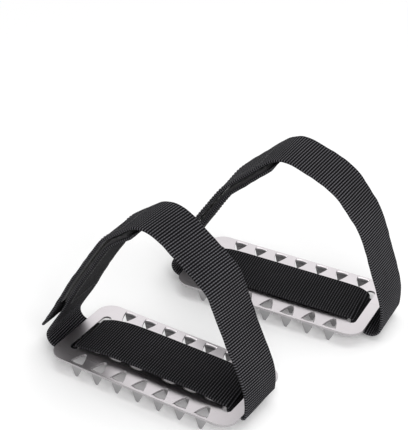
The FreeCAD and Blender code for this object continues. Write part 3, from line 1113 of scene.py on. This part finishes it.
@dataclass
class SpikePlate:
    """One stamped plate: a folded sheet with two strap slots and four rows of teeth.

    The steps count the faces of each part of the mesh, the spans are depths in shares of the
    folds' outer radius, and the angles are in degrees between neighbouring faces.
    """

    side: Side
    place: Place
    size: PlateSize
    fold_steps: int = 6
    drop_steps: int = 9
    width_steps: int = 8
    arc_steps: int = 10
    # Depths over which the painted shade of the teeth and of the folds comes in, and the folds' goes
    # out.
    tooth_shade_span: Span = (0.0, 0.7)
    fold_shade_span: Span = (0.0, 0.3)
    fold_shade_fade_span: Span = (0.6, 1.4)
    rounded_angle: float = 50.0
    sharp_angle: float = 38.0
    flat_weight: int = 80

    def _arc(self, u: float, v: float, radius: float, start: float, end: float) -> np.ndarray:
        """Points on a circle about (u, v) from one angle to another, in quarter turns."""
        angle = np.linspace(start, end, self.arc_steps + 1) * math.pi / 2
        return np.stack([u + radius * np.cos(angle), v + radius * np.sin(angle)], axis=1)

    def _rim(self) -> np.ndarray:
        """The blank's outline: four round corners.

        Returns:
            (n, 2) places round the rim.
        """
        size = self.size
        u, v = size.length / 2 - size.corner, size.width / 2 - size.corner
        spots = ((u, v, 0), (-u, v, 1), (-u, -v, 2), (u, -v, 3))
        return np.vstack([self._arc(a, b, size.corner, turn, turn + 1) for a, b, turn in spots])

    def _slot(self, way: int) -> np.ndarray:
        """A strap slot's outline: two half circles joined by straight sides.

        Args:
            way: -1 for the slot at the left end, 1 for the one at the right.

        Returns:
            (n, 2) places round the slot.
        """
        size = self.size
        radius = size.slot_width / 2
        u = way * (size.length / 2 - size.end_bar - radius)
        v = WebSize().width / 2 + size.slot_spare - radius
        return np.vstack([self._arc(u, v, radius, 0, 2), self._arc(u, -v, radius, 2, 4)])

    def _half_width(self, share: np.ndarray) -> np.ndarray:
        """Half a tooth's width: a straight taper plus a parabola's bulge.

        Args:
            share: how far down the tooth, from 0 at its root to 1 at its tip.

        Returns:
            Half the width at each share.
        """
        size = self.size
        root, tip = size.tooth_width / 2, size.tip_flat / 2
        return root + (tip - root) * share + 4 * size.tooth_bow * share * (1 - share)

    def _teeth(self) -> list[tuple[float, float, int]]:
        """Where the teeth stand: an outer and an inner row along each side.

        Returns:
            Each tooth's place along the plate, its fold line's v, and the side it stands on.
        """
        size = self.size
        outer = (np.arange(size.outer_teeth) - (size.outer_teeth - 1) / 2) * size.outer_pitch
        inner = size.inner_start + np.arange(size.inner_teeth) * size.inner_pitch
        inner = np.concatenate([-inner[::-1], inner])
        rows = []
        for way in (-1, 1):
            for places, setback in ((outer, size.outer_fold), (inner, size.inner_fold)):
                fold = way * (size.width / 2 - setback + size.bend_inside)
                rows += [(float(u), fold, way) for u in places]
        return rows

    def _punched(self, u: float, fold: float, way: int) -> tuple[np.ndarray, np.ndarray]:
        """The opening a tooth leaves, and the tooth's own sheet.

        The opening runs from the fold line to the blunt tip, a little wider than the tooth, with
        a relief notch at each end of the fold. The sheet's top face turns down through a quarter
        circle of radius inside + thickness, then drops straight: a row at angle a lies r sin a
        inwards and r (1 - cos a) down. The fold line is bowed outwards by bow (1 - c^2), for c
        from -1 to 1 across the tooth, and the bow shrinks with the tooth's width squared.

        Args:
            u: the tooth's place along the plate.
            fold: its fold line's v.
            way: -1 for a tooth on the near side, 1 for one on the far side.

        Returns:
            The opening's outline, and the sheet's grid (rows, columns, 3), whose first row lies
            on the fold line.
        """
        size = self.size
        inward = -way
        radius = size.bend_inside + size.thick
        across = np.linspace(-1, 1, self.width_steps + 1)
        bow = size.fold_bow * way * (1 - across ** 2)
        root = np.stack([u + across * size.tooth_width / 2, fold + bow], axis=1)
        share = np.linspace(0, 1, self.arc_steps + 1)
        half = self._half_width(share) + size.relief
        out = fold + inward * share * (size.punch_length + size.bend_inside)
        behind = fold - inward * size.relief
        right = np.stack([u + half, out], axis=1)[1:]
        left = np.stack([u - half, out], axis=1)[:0:-1]
        back = np.array([[0, inward * size.relief]])
        opening = np.vstack([root, root[-1:] - back, [[u + half[0], behind]], right, left,
                             [[u - half[0], behind]], root[:1] - back])
        angle = np.linspace(0, math.pi / 2, self.fold_steps + 1)
        drop = np.concatenate([radius * (1 - np.cos(angle)),
                               np.linspace(radius, size.tooth_drop, self.drop_steps + 1)[1:]])
        reach = np.concatenate([radius * np.sin(angle), np.full(self.drop_steps, radius)])
        widths = self._half_width(drop / size.tooth_drop)[:, None]
        grid = np.broadcast_arrays(
            u + widths * across,
            (fold + inward * reach)[:, None] + bow * (widths / widths[0]) ** 2,
            -drop[:, None])
        return opening, np.stack(grid, axis=-1)

    def _sheet(self) -> bmesh.types.BMesh:
        """The folded sheet's top face: the pierced blank filled flat, and the teeth's grids.

        A tooth's faces are wound one way on the near side and the other way on the far side, so
        that they all point out of the top face.

        Returns:
            The sheet in the plate's own frame, in millimetres.
        """
        sheet = bmesh.new()
        teeth = [(self._punched(*tooth), tooth[2]) for tooth in self._teeth()]
        outlines = [self._rim(), self._slot(-1), self._slot(1)] + [made[0] for made, _ in teeth]
        edges, rings = [], []
        for outline in outlines:
            ring = [sheet.verts.new((u, v, 0.0)) for u, v in outline]
            edges += [sheet.edges.new(pair) for pair in zip(ring, ring[1:] + ring[:1])]
            rings.append(ring)
        bmesh.ops.triangle_fill(sheet, edges=edges, use_beauty=True, normal=(0, 0, 1))
        for face in sheet.faces:
            if face.normal.z < 0:
                face.normal_flip()
        for ((_, grid), way), ring in zip(teeth, rings[-len(teeth):]):
            rows = [ring[:self.width_steps + 1]]
            rows += [[sheet.verts.new(point) for point in row] for row in grid[1:]]
            for above, below in zip(rows, rows[1:]):
                for corners in zip(above, above[1:], below[1:], below):
                    sheet.faces.new(corners[::-way])
        return sheet

    def _worked(self, depth: np.ndarray) -> dict[str, np.ndarray]:
        """Where the steel of the teeth and their folds is rougher and its colour darker, as painted
        shade.

        Both rise as smooth steps of the depth, and the folds' mask falls again below the fold.

        Args:
            depth: depth of each point below the top face.

        Returns:
            The two masks by name, from 0 to 1.
        """
        share = depth / (self.size.bend_inside + self.size.thick)
        fold_shade = smoothstep(share, *self.fold_shade_span) * (1 - smoothstep(share, *self.fold_shade_fade_span))
        return {"tooth_shade": smoothstep(share, *self.tooth_shade_span), "fold_shade": fold_shade}

    def _finish_sheet(self, piece: bpy.types.Object) -> None:
        """Give the sheet its thickness, round its sheared edges and shade its flats evenly.

        Args:
            piece: the sheet's top face, which becomes the whole plate.
        """
        thicken = piece.modifiers.new("sheet", "SOLIDIFY")
        thicken.thickness = self.size.thick * MM
        thicken.offset = -1.0
        thicken.use_even_offset = True
        thicken.material_offset_rim = 1
        soften = piece.modifiers.new("sheared_edges", "BEVEL")
        soften.width = self.size.edge_round * MM
        soften.segments = 2
        soften.limit_method = "ANGLE"
        soften.angle_limit = math.radians(self.rounded_angle)
        soften.material = 1
        soften.harden_normals = False
        applied(piece)
        piece.data.set_sharp_from_angle(angle=math.radians(self.sharp_angle))
        faces = piece.data.polygons
        faces.foreach_set("use_smooth", np.full(len(faces), True))
        flatten = piece.modifiers.new("flat_faces_first", "WEIGHTED_NORMAL")
        flatten.mode = "FACE_AREA"
        flatten.weight = self.flat_weight
        flatten.keep_sharp = True
        applied(piece)

    def build(self, finishes: Finishes) -> bpy.types.Object:
        """The plate as one folded sheet, thickened, with its sheared edges rounded.

        Args:
            finishes: the materials.

        Returns:
            The finished piece, riding on its plate and standing for its node.
        """
        side = self.side.value
        sheet = self._sheet()
        local = np.array([vertex.co for vertex in sheet.verts])
        for vertex, point in zip(sheet.verts, self.place.to_row(local)):
            vertex.co = point
        sheet.normal_update()
        mesh = bpy.data.meshes.new(side + "_stamped_plate")
        sheet.to_mesh(mesh)
        sheet.free()
        piece = linked(mesh.name, mesh)
        # Masks for the painted shade and the extra roughness of the teeth and their folds.
        for name, mask in self._worked(-local[:, 2]).items():
            point_attribute(piece, name, mask)
        mesh.materials.append(finishes.steel[self.side])
        mesh.materials.append(finishes.cut_edge)
        self._finish_sheet(piece)
        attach(piece, side + "_plate")
        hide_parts(side + "_spike_plate")
        LOG.info("%s: %d faces", piece.name, len(piece.data.polygons))
        return piece


def applied(piece: bpy.types.Object) -> None:
    """Turn a piece's modifiers into its mesh.

    Args:
        piece: the object, which keeps its name and materials.
    """
    graph = bpy.context.evaluated_depsgraph_get()
    mesh = bpy.data.meshes.new_from_object(piece.evaluated_get(graph), depsgraph=graph)
    piece.modifiers.clear()
    piece.data = mesh


# ---------------------------------------------------------------- the webbing


@dataclass(frozen=True)
class Stretch:
    """One piece of the webbing, from one station to another.

    The cut flags say which end is the webbing's own cut end, and the last share is painted
    shade: how far the ribs' colour is darkened towards the grooves', where the piece lies in the
    arch's shade.
    """

    name: str
    low: float
    high: float
    cut_low: bool = False
    cut_high: bool = False
    painted_shade: float = 0.0


@dataclass
class WebbingLoop:
    """One crampon's length of webbing, with its tapes, stitching and loose fibres.

    seam_height and blend count from the ground, and lean, tape_height and smooth_dark_heights
    from the plate's top face. Nothing here reads lean or blend. Each _setback and peel_reach is
    measured along the webbing.
    """

    side: Side
    place: Place
    web: WebSize
    line: WebbingLine
    seed: int
    slot_sway: float = 0.0
    limp: Limpness = Limpness()
    cut: CutSize = CutSize()
    hooks: HookSize = HookSize()
    pile: PileSize = PileSize()
    stitch: StitchSize = StitchSize()
    face_points: int = 30
    edge_points: int = 4
    rib_samples: int = 6
    least_samples: int = 8
    seam_height: float = 24.8
    slot_setback: float = 1.0
    blend: Span = (26.5, 31.5)
    lean: Span = (0.0, 15.0)
    peel_setback: float = 8.5
    peel_reach: float = 3.5
    tape_setback: float = 4.0
    tape_height: float = 23.5
    # How far the boot's face of the short end is made smoother and darker above a height, and how
    # much flatter its ribs are there.
    smooth_dark: float = 0.88
    smooth_dark_relief: float = 0.85
    smooth_dark_heights: Span = (15.0, 6.0)
    # Painted shade on the sole run, which lies under the arch.
    sole_painted_shade: float = 0.32

    def __post_init__(self) -> None:
        """Find the stations at which the webbing is split and sewn."""
        marks, at = self.line.marks, self.line.at_height
        curl, top = marks["left_curl"], self.place.origin[2] / MM
        self.short_seam = at(0.0, curl, self.seam_height - top)
        self.left_seam = (curl + marks["left_slot_foot"]) / 2 + self.slot_setback
        self.right_seam = (marks["right_slot_foot"] + marks["right_curl"]) / 2 - self.slot_setback
        self.peel = marks["apex"] + self.peel_setback
        self.hook_span = (self.peel + self.tape_setback,
                          at(marks["brow"], self.line.length, self.tape_height))
        self.pile_span = (self.tape_setback, at(0.0, curl, self.tape_height))
        self.smooth_dark_span = [at(0.0, curl, height) for height in self.smooth_dark_heights]

    def _section(self) -> tuple[np.ndarray, np.ndarray, np.ndarray]:
        """The webbing's cross-section as a closed ring, thin selvedges included.

        The top half runs from one selvedge to the other, the bottom half is its mirror image.

        Returns:
            Place across, shift towards the boot from -1 to 1, and how ribbed each point is.
        """
        half, radius = self.web.width / 2, self.web.thick / 2
        angle = (np.arange(self.edge_points) + 0.5) / self.edge_points * math.pi / 2
        edge = half - radius + radius * np.cos(angle)
        flat = np.linspace(-(half - radius), half - radius, self.face_points)
        across = np.concatenate([-edge, flat, edge[::-1]])
        lift = np.concatenate([np.sin(angle), np.ones(self.face_points), np.sin(angle)[::-1]])
        ribbed = smoothstep(half - np.abs(across), *self.web.selvedge)
        return tuple(np.concatenate([top, sign * top[::-1]])
                     for top, sign in ((across, 1), (lift, -1), (ribbed, 1)))

    def _drape(self, station: np.ndarray, across: np.ndarray) -> tuple[np.ndarray, np.ndarray]:
        """How a limp strap strays from its flat line.

        The sway is a slow wander, a pull to one side at the left slot, and a squeeze by a share
        of the width at both slots, each a bell curve of the station. The shift is a slight
        twist, a shallow trough and a small ripple of the selvedges, and fades out at the slots.

        Args:
            station: distance along the line.
            across: place across the webbing.

        Returns:
            The sway across, and the shift towards the boot.
        """
        marks, limp = self.line.marks, self.limp
        free = (smoothstep(marks["left_curl"] - station, *limp.free_span)
                + smoothstep(station - marks["right_curl"], *limp.free_span))
        share = across / (self.web.width / 2)
        left, right = ((marks[end + "_slot_foot"] + marks[end + "_slot_head"]) / 2
                       for end in ("left", "right"))
        pulled = np.exp(-((station - left) / limp.slot_sway_reach) ** 2)
        sway = limp.sway * waves(station, self.seed, limp.sway_length, 3) * free
        sway = sway + self.slot_sway * pulled
        squeeze = limp.squeeze + limp.far_squeeze * smoothstep(share, *limp.far_span)
        for slot in (left, right):
            sway = sway - squeeze * across * np.exp(-((station - slot) / limp.squeeze_reach) ** 2)
        twist = limp.twist * waves(station, self.seed + 1, limp.twist_length, 2)
        trough = limp.trough * (share ** 2 - limp.trough_level)
        ripple = limp.ripple * share ** 4 * waves(station, self.seed + 2, limp.ripple_length, 3)
        single = free * smoothstep(station, self.short_seam, marks["left_curl"]) * (
            1 - smoothstep(station, marks["crown"], marks["apex"]))
        return sway, (twist * share + trough) * single + ripple * free

    def _cut_ends(self, piece: Stretch, station: np.ndarray,
                  across: np.ndarray) -> tuple[np.ndarray, np.ndarray]:
        """How a cut end thins out, and how its edge wanders.

        The thickness falls as a quarter of an ellipse over the last half millimetre.

        Args:
            piece: which stretch.
            station: distance along the line.
            across: place across the webbing.

        Returns:
            The share of the thickness that is left, and the shift along the line.
        """
        cut = self.cut
        thick, shift = np.ones_like(station), np.zeros_like(station * across)
        for is_cut, distance, way in ((piece.cut_low, station - piece.low, -1),
                                      (piece.cut_high, piece.high - station, 1)):
            if is_cut:
                close = 1 - np.clip(distance / cut.close, 0, 1)
                least = cut.least_share
                thick = thick * np.sqrt(least + (1 - least) * (1 - close ** 2))
                jag = cut.wander * waves(across, self.seed + 5 + way, cut.wander_length, 5)
                shift = shift + way * (jag - cut.back) * (1 - smoothstep(distance, 0.0, cut.reach))
        return thick, shift

    def stretch(self, piece: Stretch, finishes: Finishes) -> bpy.types.Object:
        """One piece of webbing as a grid of rings along the line.

        A ring's point is moved in from the flat face by rib_depth (1 - |sin(pi s / pitch)|^p),
        where s is the station with a small wander and the weave's skew across the webbing, so
        that ribs are rounded and grooves narrow. The crests dip by yarn_depth between the warp
        yarns in the same way, and the relief is lower where the boot's face is made smoother and
        darker.

        Args:
            piece: which stretch.
            finishes: the materials.

        Returns:
            The piece, not yet riding on anything.
        """
        web = self.web
        ribs = (piece.high - piece.low) / web.rib_pitch
        count = max(self.least_samples, int(ribs * self.rib_samples))
        station = np.linspace(piece.low, piece.high, count + 1)[:, None]
        across, lift, ribbed = (part[None, :] for part in self._section())
        wander = waves(station + web.wander_lag * across, self.seed + 3, web.wander_length, 3)
        rib = (station + web.skew * across + web.rib_wander * wander) / web.rib_pitch
        yarn = across / web.yarn_pitch
        # The share of the boot's face made smoother and darker, fading out between two heights.
        brushed = self.smooth_dark * (1 - smoothstep(station, *self.smooth_dark_span))
        smooth_dark = np.where(lift > 0, brushed, 0.0)
        groove = 1 - arched(rib, web.rib_power)
        dip = web.yarn_depth * (1 - arched(yarn, web.yarn_power)) * (1 - groove)
        depth = (web.rib_depth * groove + dip) * ribbed * (1 - self.smooth_dark_relief * smooth_dark)
        sway, drape = self._drape(station, across)
        ends, jag = self._cut_ends(piece, station, across)
        shift = lift * (web.thick / 2 - depth) * ends + drape
        points = self.line.on(station + jag, shift, across + sway)
        uv = np.stack(np.broadcast_arrays(rib, yarn), axis=-1)
        made = quad_mesh(piece.name, self.place.to_row(points).reshape(-1, 3),
                         ring_quads(*points.shape[:2]), uv.reshape(-1, 2))
        point_attribute(made, "smooth_dark", (smooth_dark * np.abs(lift)).ravel())
        # Painted shade, even over the whole piece.
        point_attribute(made, "painted_shade", np.full(len(made.data.vertices), piece.painted_shade))
        made.data.materials.append(finishes.webbing)
        LOG.info("%s: %.1f mm of webbing", made.name, piece.high - piece.low)
        return made

    def _middle(self, station: float) -> np.ndarray:
        """A point of the centre line in the plate's frame."""
        return self.line.on(np.array(station), np.array(0.0), np.array(0.0))

    def _row_point(self, station: float) -> tuple[float, float, float]:
        """A point of the centre line in the row frame."""
        return tuple(float(x) for x in self.place.to_row(self._middle(station)))

    def build_webbing(self, finishes: Finishes) -> None:
        """The five stretches of webbing: the sole run rides on its plate, and the other four stay
        fixed where they are built.

        Args:
            finishes: the materials.
        """
        side = self.side.value
        plate, loop = side + "_plate", side + "_loop"
        # The sole run carries painted shade for lying under the arch.
        run = self.stretch(Stretch(side + "_sole_webbing", self.left_seam, self.right_seam,
                                   painted_shade=self.sole_painted_shade), finishes)
        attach(run, plate)
        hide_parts(side + "_sole_strap")
        turn = self.stretch(Stretch(side + "_left_turn", self.short_seam, self.left_seam), finishes)
        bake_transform(turn)
        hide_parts(side + "_short_strap_root")
        short = self.stretch(Stretch(side + "_short_end", 0.0, self.short_seam, cut_low=True),
                             finishes)
        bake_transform(short)
        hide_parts(side + "_short_strap")
        split = self.peel - self.peel_reach
        arch = self.stretch(Stretch(side + "_arch", self.right_seam, split), finishes)
        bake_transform(arch)
        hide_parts(side + "_arch_strap")
        tail = self.stretch(Stretch(side + "_tail_end", split, self.line.length, cut_high=True),
                            finishes)
        self._row_point(split)
        self._row_point(self.peel + self.peel_reach)
        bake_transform(tail)
        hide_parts(side + "_tail_strap")

    def _attach(self, piece: bpy.types.Object, material: bpy.types.Material, body: str,
                slot: str, *nodes: str) -> None:
        """Dress a piece, let it ride on a body, and say what it stands for.

        Args:
            piece: the object.
            material: its finish.
            body: the body's name after the side.
            slot: not used.
            nodes: names, after the side, of the nodes it stands for.
        """
        piece.data.materials.append(material)
        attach(piece, self.side.value + body)
        if nodes:
            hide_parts(*(self.side.value + node for node in nodes))
        LOG.info("%s: %d faces", piece.name, len(piece.data.polygons))

    def _tape(self, name: str, span: Span, face: Face, thick: float, paths: np.ndarray,
              radius: float) -> bpy.types.Object:
        """A tape's cloth, a thin box along the line, with small tubes standing on it.

        Args:
            name: the piece's name after the side.
            span: the stations of its two ends.
            face: the webbing's face it is sewn to.
            thick: the cloth's thickness.
            paths: (count, steps, 3) lines of the tubes in the plate's frame.
            radius: the tubes' radius.

        Returns:
            The piece, not yet dressed.
        """
        step, columns = 0.5, 26
        count = int((span[1] - span[0]) / step)
        station = np.linspace(*span, count + 1)[:, None]
        half = self.web.tape_width / 2
        across = np.linspace(-half, half, columns)
        across = np.concatenate([across, across[::-1]])
        level = self.web.thick / 2 - self.web.sewn_depth + np.repeat([thick, 0.0], columns)
        cloth = self.line.on(station, face.value * level, across[None, :]).reshape(-1, 3)
        small, small_quads = tubes(self.place.to_row(paths), np.full(paths.shape[1], radius * MM))
        quads = [ring_quads(count + 1, 2 * columns), small_quads + len(cloth)]
        return quad_mesh(self.side.value + name, np.vstack([self.place.to_row(cloth), small]),
                         np.vstack(quads))

    def build_hook_tape(self, finishes: Finishes) -> None:
        """Hook tape inside the tail: its cloth, and rows of nylon hooks that curl over.

        A hook's line stands up for a share of its height, then turns over through half a circle
        along the webbing, every other row the other way.

        Args:
            finishes: the materials.
        """
        size, (low, high) = self.hooks, self.hook_span
        station = np.arange(low + size.margin[0], high - size.margin[1], size.row_pitch)
        across = np.arange(-size.reach, size.reach + 0.1, size.pitch)
        grid_s, grid_v = (part.ravel()[:, None]
                          for part in np.meshgrid(station, across, indexing="ij"))
        way = np.where((np.arange(len(grid_s)) // len(across)) % 2, 1.0, -1.0)[:, None]
        turned = np.linspace(0, size.turn * math.pi, size.curl_points)
        angle = np.concatenate([[0, 0], turned])[None, :]
        stem = np.concatenate([[0.0, size.root], np.full(size.curl_points, size.stem)])[None, :]
        level = self.web.thick / 2 + size.cloth - self.web.sewn_depth + stem
        along = grid_s + way * size.curl * (1 - np.cos(angle))
        paths = self.line.on(along, level + size.curl * np.sin(angle), grid_v + 0 * angle)
        made = self._tape("_hook_strip", self.hook_span, Face.BOOT, size.cloth, paths, size.radius)
        self._attach(made, finishes.hooks, "_tail", "hook_tape", "_hook_tape")

    def build_pile_tape(self, finishes: Finishes) -> None:
        """Pile tape outside the short end: its cloth, and a felt of small loops.

        A loop's line is half a circle of seeded size and heading on the cloth.

        Args:
            finishes: the materials.
        """
        size, (low, high) = self.pile, self.pile_span
        draw = np.random.default_rng(self.seed + 11)
        start_s, start_v, heading, half_span, height = (
            draw.uniform(*span, (size.loops, 1))
            for span in ((low + size.margin, high - size.margin), (-size.reach, size.reach),
                         (0, 2 * math.pi), size.half_span, size.height))
        angle = np.linspace(0, math.pi, size.loop_points)[None, :]
        along = start_s + half_span * np.cos(angle) * np.cos(heading)
        across = start_v + half_span * np.cos(angle) * np.sin(heading)
        level = self.web.thick / 2 + size.cloth - size.root + height * np.sin(angle)
        paths = self.line.on(along, Face.OUTER.value * level, across)
        made = self._tape("_pile_strip", self.pile_span, Face.OUTER, size.cloth, paths, size.radius)
        self._attach(made, finishes.pile, "_short_end", "pile_tape", "_pile_tape")

    def build_stitching(self, name: str, span: Span, face: Face, body: str, node: str,
                        finishes: Finishes) -> None:
        """The box of lock stitches that holds a tape, seen on the webbing's other face.

        Each stitch is a short tube that rises from its hole and goes back in: its height over
        the face is sin(pi q) to a power, for q from 0 to 1 along it.

        Args:
            name: the piece's name after the side.
            span: the stations of the tape's two ends.
            face: the face on which the stitches show.
            body: the body's name after the side.
            node: the node's name after the side.
            finishes: the materials.
        """
        size, radius = self.stitch, self.web.thread / 2
        half = self.web.tape_width / 2 - size.inset
        low, high = span[0] + size.inset, span[1] - size.inset
        along = np.arange(low, high - size.pitch / 2, size.pitch)
        cross = np.arange(-half, half - size.pitch / 2, size.pitch)
        starts = [(s, v, 1, 0) for v in (-half, half) for s in along]
        starts += [(s, v, 0, 1) for s in (low, high) for v in cross]
        s, v, on_s, on_v = np.array(starts, float).T[..., None]
        q = np.linspace(0, 1, size.points)[None, :]
        run = (size.start_share + size.shown_share * q) * size.pitch
        arch = arched(q, size.arch_power)
        level = self.web.thick / 2 - size.root + (radius + size.root) * arch
        paths = self.line.on(s + on_s * run, face.value * level, v + on_v * run)
        thread, quads = tubes(self.place.to_row(paths), np.full(size.points, radius * MM),
                              size.around)
        made = quad_mesh(self.side.value + name, thread, quads)
        self._attach(made, finishes.thread, body, "thread", node)

    def build_fibres(self, name: str, station: float, way: int, body: str,
                     finishes: Finishes) -> None:
        """Loose yarn ends at a cut: short tubes that leave the edge and droop.

        A fibre runs straight out of the cut and bends aside by a share of q squared, for q from
        0 to 1 along it.

        Args:
            name: the piece's name after the side.
            station: where the cut is.
            way: 1 where the webbing ends there, and -1 where it begins.
            body: the body's name after the side.
            finishes: the materials.
        """
        cut, row = self.cut, (self.cut.fibres, 1)
        draw = np.random.default_rng(self.seed + 23 + way)
        q = np.linspace(0, 1, cut.fibre_points)[None, :]
        radius = np.linspace(*cut.fibre_radius, cut.fibre_points) * MM
        length = draw.uniform(*cut.fibre_length, row)
        across, level = (
            draw.uniform(-reach, reach, row) + draw.normal(0, bend, row) * q ** 2
            for reach, bend in zip((cut.fibre_across, cut.fibre_level), cut.fibre_bend))
        end = self._middle(station)
        heading = end - self._middle(station - way)
        heading = heading / np.linalg.norm(heading)
        side = np.array([-heading[2], 0.0, heading[0]])
        paths = (end + heading * (length * q - cut.fibre_root)[..., None]
                 + side * level[..., None] + np.array([0.0, 1.0, 0.0]) * across[..., None])
        yarn, quads = tubes(self.place.to_row(paths), radius)
        made = quad_mesh(self.side.value + name, yarn, quads)
        self._attach(made, finishes.thread, body, "webbing")

    def build(self, finishes: Finishes) -> None:
        """Every piece of this crampon's webbing.

        Args:
            finishes: the materials.
        """
        self.build_webbing(finishes)
        self.build_hook_tape(finishes)
        self.build_pile_tape(finishes)
        self.build_stitching("_hook_seam", self.hook_span, Face.OUTER, "_tail", "_hook_stitching",
                             finishes)
        self.build_stitching("_pile_seam", self.pile_span, Face.BOOT, "_short_end",
                             "_pile_stitching", finishes)
        self.build_fibres("_tail_fray", self.line.length, 1, "_tail", finishes)
        self.build_fibres("_short_fray", 0.0, -1, "_short_end", finishes)


# ---------------------------------------------------------------- studio


@dataclass(frozen=True)
class Viewpoint:
    """Where the camera stands, from the front plate: angles in degrees, lengths in metres."""

    azimuth: float = 30.106
    elevation: float = 32.09
    roll: float = 2.489
    distance: float = 0.93659
    aim: tuple[float, float] = (-0.057838, 0.133377)
    lens: float = 139.473

    def make(self, plate: Place) -> bpy.types.Object:
        """The scene's camera.

        It stands back along (sin a cos e, -cos a cos e, sin e) from its aim, and its up is
        turned by the roll.

        Args:
            plate: the front plate's place.

        Returns:
            The camera object.
        """
        a, e, r = (math.radians(x) for x in (self.azimuth, self.elevation, self.roll))
        back = Vector((math.sin(a) * math.cos(e), -math.cos(a) * math.cos(e), math.sin(e)))
        level = Vector((math.cos(a), math.sin(a), 0.0))
        upward = back.cross(level)
        right = level * math.cos(r) + upward * math.sin(r)
        top = back.cross(right)
        target = Vector(plate.origin) + Vector((*self.aim, 0.0))
        camera = linked("camera", bpy.data.cameras.new("camera"))
        camera.data.lens = self.lens
        camera.data.sensor_width = 36.0
        camera.data.sensor_fit = "HORIZONTAL"
        camera.data.clip_start = 0.02
        turned = Matrix((right, top, back)).transposed().to_4x4()
        camera.matrix_world = Matrix.Translation(target + back * self.distance) @ turned
        bpy.context.scene.camera = camera
        return camera


@dataclass(frozen=True)
class Softbox:
    """A square studio lamp: where it stands, how wide it is, in metres, and its power."""

    name: str
    stand: tuple[float, float, float]
    width: float
    watts: float

    def make(self) -> None:
        """Put the lamp in the scene, facing the pair."""
        lamp = bpy.data.lights.new(self.name, "AREA")
        lamp.shape = "SQUARE"
        lamp.size = self.width
        lamp.energy = self.watts
        holder = linked(self.name, lamp)
        holder.location = self.stand
        holder.rotation_mode = "QUATERNION"
        holder.rotation_quaternion = Vector(self.stand).to_track_quat("Z", "Y")


@dataclass(frozen=True)
class Studio:
    """Plain white sweep, even daylight and three softboxes, with lengths in metres.

    The floor is matt around the pair and grows into an even glow between the two glow distances.
    """

    lamps: tuple[Softbox, ...] = (
        Softbox("key_softbox", (0.75, -0.85, 0.75), 0.9, 8.0),
        Softbox("top_softbox", (0.1, 0.3, 1.4), 1.2, 9.0),
        Softbox("side_softbox", (1.3, 0.2, 0.45), 0.8, 4.0),
    )
    floor_reach: float = 4.0
    daylight: float = 0.55
    near_glow: float = 0.08
    glow_start: float = 0.14
    glow_full: float = 0.55

    def _seen(self, tree: bpy.types.NodeTree) -> bpy.types.NodeSocket:
        """Which rays look at the studio, where the others only light the pair.

        Args:
            tree: the floor's or the world's tree.

        Returns:
            1 for what the camera, a mirror or a glass sees, and 0 for the rest.
        """
        path = add_node(tree, "ShaderNodeLightPath")
        direct = maths(tree, "MAXIMUM", path.outputs["Is Camera Ray"], path.outputs["Is Glossy Ray"])
        return maths(tree, "MAXIMUM", direct, path.outputs["Is Transmission Ray"])

    def _floor(self) -> None:
        """A wide white floor that keeps a faint shadow."""
        reach = self.floor_reach
        mesh = bpy.data.meshes.new("floor")
        mesh.from_pydata([(-reach, -reach, 0), (reach, -reach, 0), (reach, reach, 0),
                          (-reach, reach, 0)], [], [(0, 1, 2, 3)])
        floor = linked("floor", mesh)
        material = bpy.data.materials.new("white_sweep")
        material.use_nodes = True
        tree = material.node_tree
        tree.nodes.clear()
        matt = add_node(tree, "ShaderNodeBsdfDiffuse", {"Color": (0.98, 0.98, 0.98, 1)})
        glow = add_node(tree, "ShaderNodeEmission", {"Color": (1, 1, 1, 1), "Strength": 1.0})
        place = add_node(tree, "ShaderNodeTexCoord")
        away = add_node(tree, "ShaderNodeVectorMath", {0: place.outputs["Object"]},
                        operation="LENGTH")
        spread = add_node(tree, "ShaderNodeMapRange",
                          {"Value": away.outputs["Value"], "From Min": self.glow_start,
                           "From Max": self.glow_full, "To Min": self.near_glow, "To Max": 1.0},
                          interpolation_type="SMOOTHSTEP")
        share = maths(tree, "MULTIPLY", self._seen(tree), spread.outputs[0])
        mix = add_node(tree, "ShaderNodeMixShader",
                       {0: share, 1: matt.outputs[0], 2: glow.outputs[0]})
        out = add_node(tree, "ShaderNodeOutputMaterial", {0: mix.outputs[0]})
        out.is_active_output = True
        mesh.materials.append(material)

    def _world(self) -> None:
        """Even daylight all round, seen as white."""
        world = bpy.data.worlds.new("daylight")
        bpy.context.scene.world = world
        world.use_nodes = True
        tree = world.node_tree
        background = tree.nodes["Background"]
        background.inputs["Color"].default_value = (1, 1, 1, 1)
        strength = maths(tree, "MULTIPLY_ADD", self._seen(tree), 1.0 - self.daylight, self.daylight)
        tree.links.new(strength, background.inputs["Strength"])

    def build(self) -> None:
        """Floor, daylight and lamps, seen without any film look."""
        self._floor()
        self._world()
        for lamp in self.lamps:
            lamp.make()
        bpy.context.scene.view_settings.view_transform = "Standard"


# ---------------------------------------------------------------- the pair


def main() -> None:
    """Build the pair, piece by piece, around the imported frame."""
    logging.basicConfig(level=logging.INFO, format="%(message)s")
    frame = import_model()
    finishes = Finishes(ShaderGroups())
    plate, web = PlateSize(), WebSize()
    places = {side: Place.of_plate(side, frame) for side in Side}
    for side, loop, seed, slot_sway in ((Side.FRONT, FRONT_LOOP, 7, -1.3),
                                        (Side.BACK, BACK_LOOP, 41, 0.0)):
        SpikePlate(side, places[side], plate).build(finishes)
        line = WebbingLine(plate, web, loop)
        WebbingLoop(side, places[side], web, line, seed, slot_sway).build(finishes)
    Viewpoint().make(places[Side.FRONT])
    Studio().build()


if __name__ == "__main__":
    main()
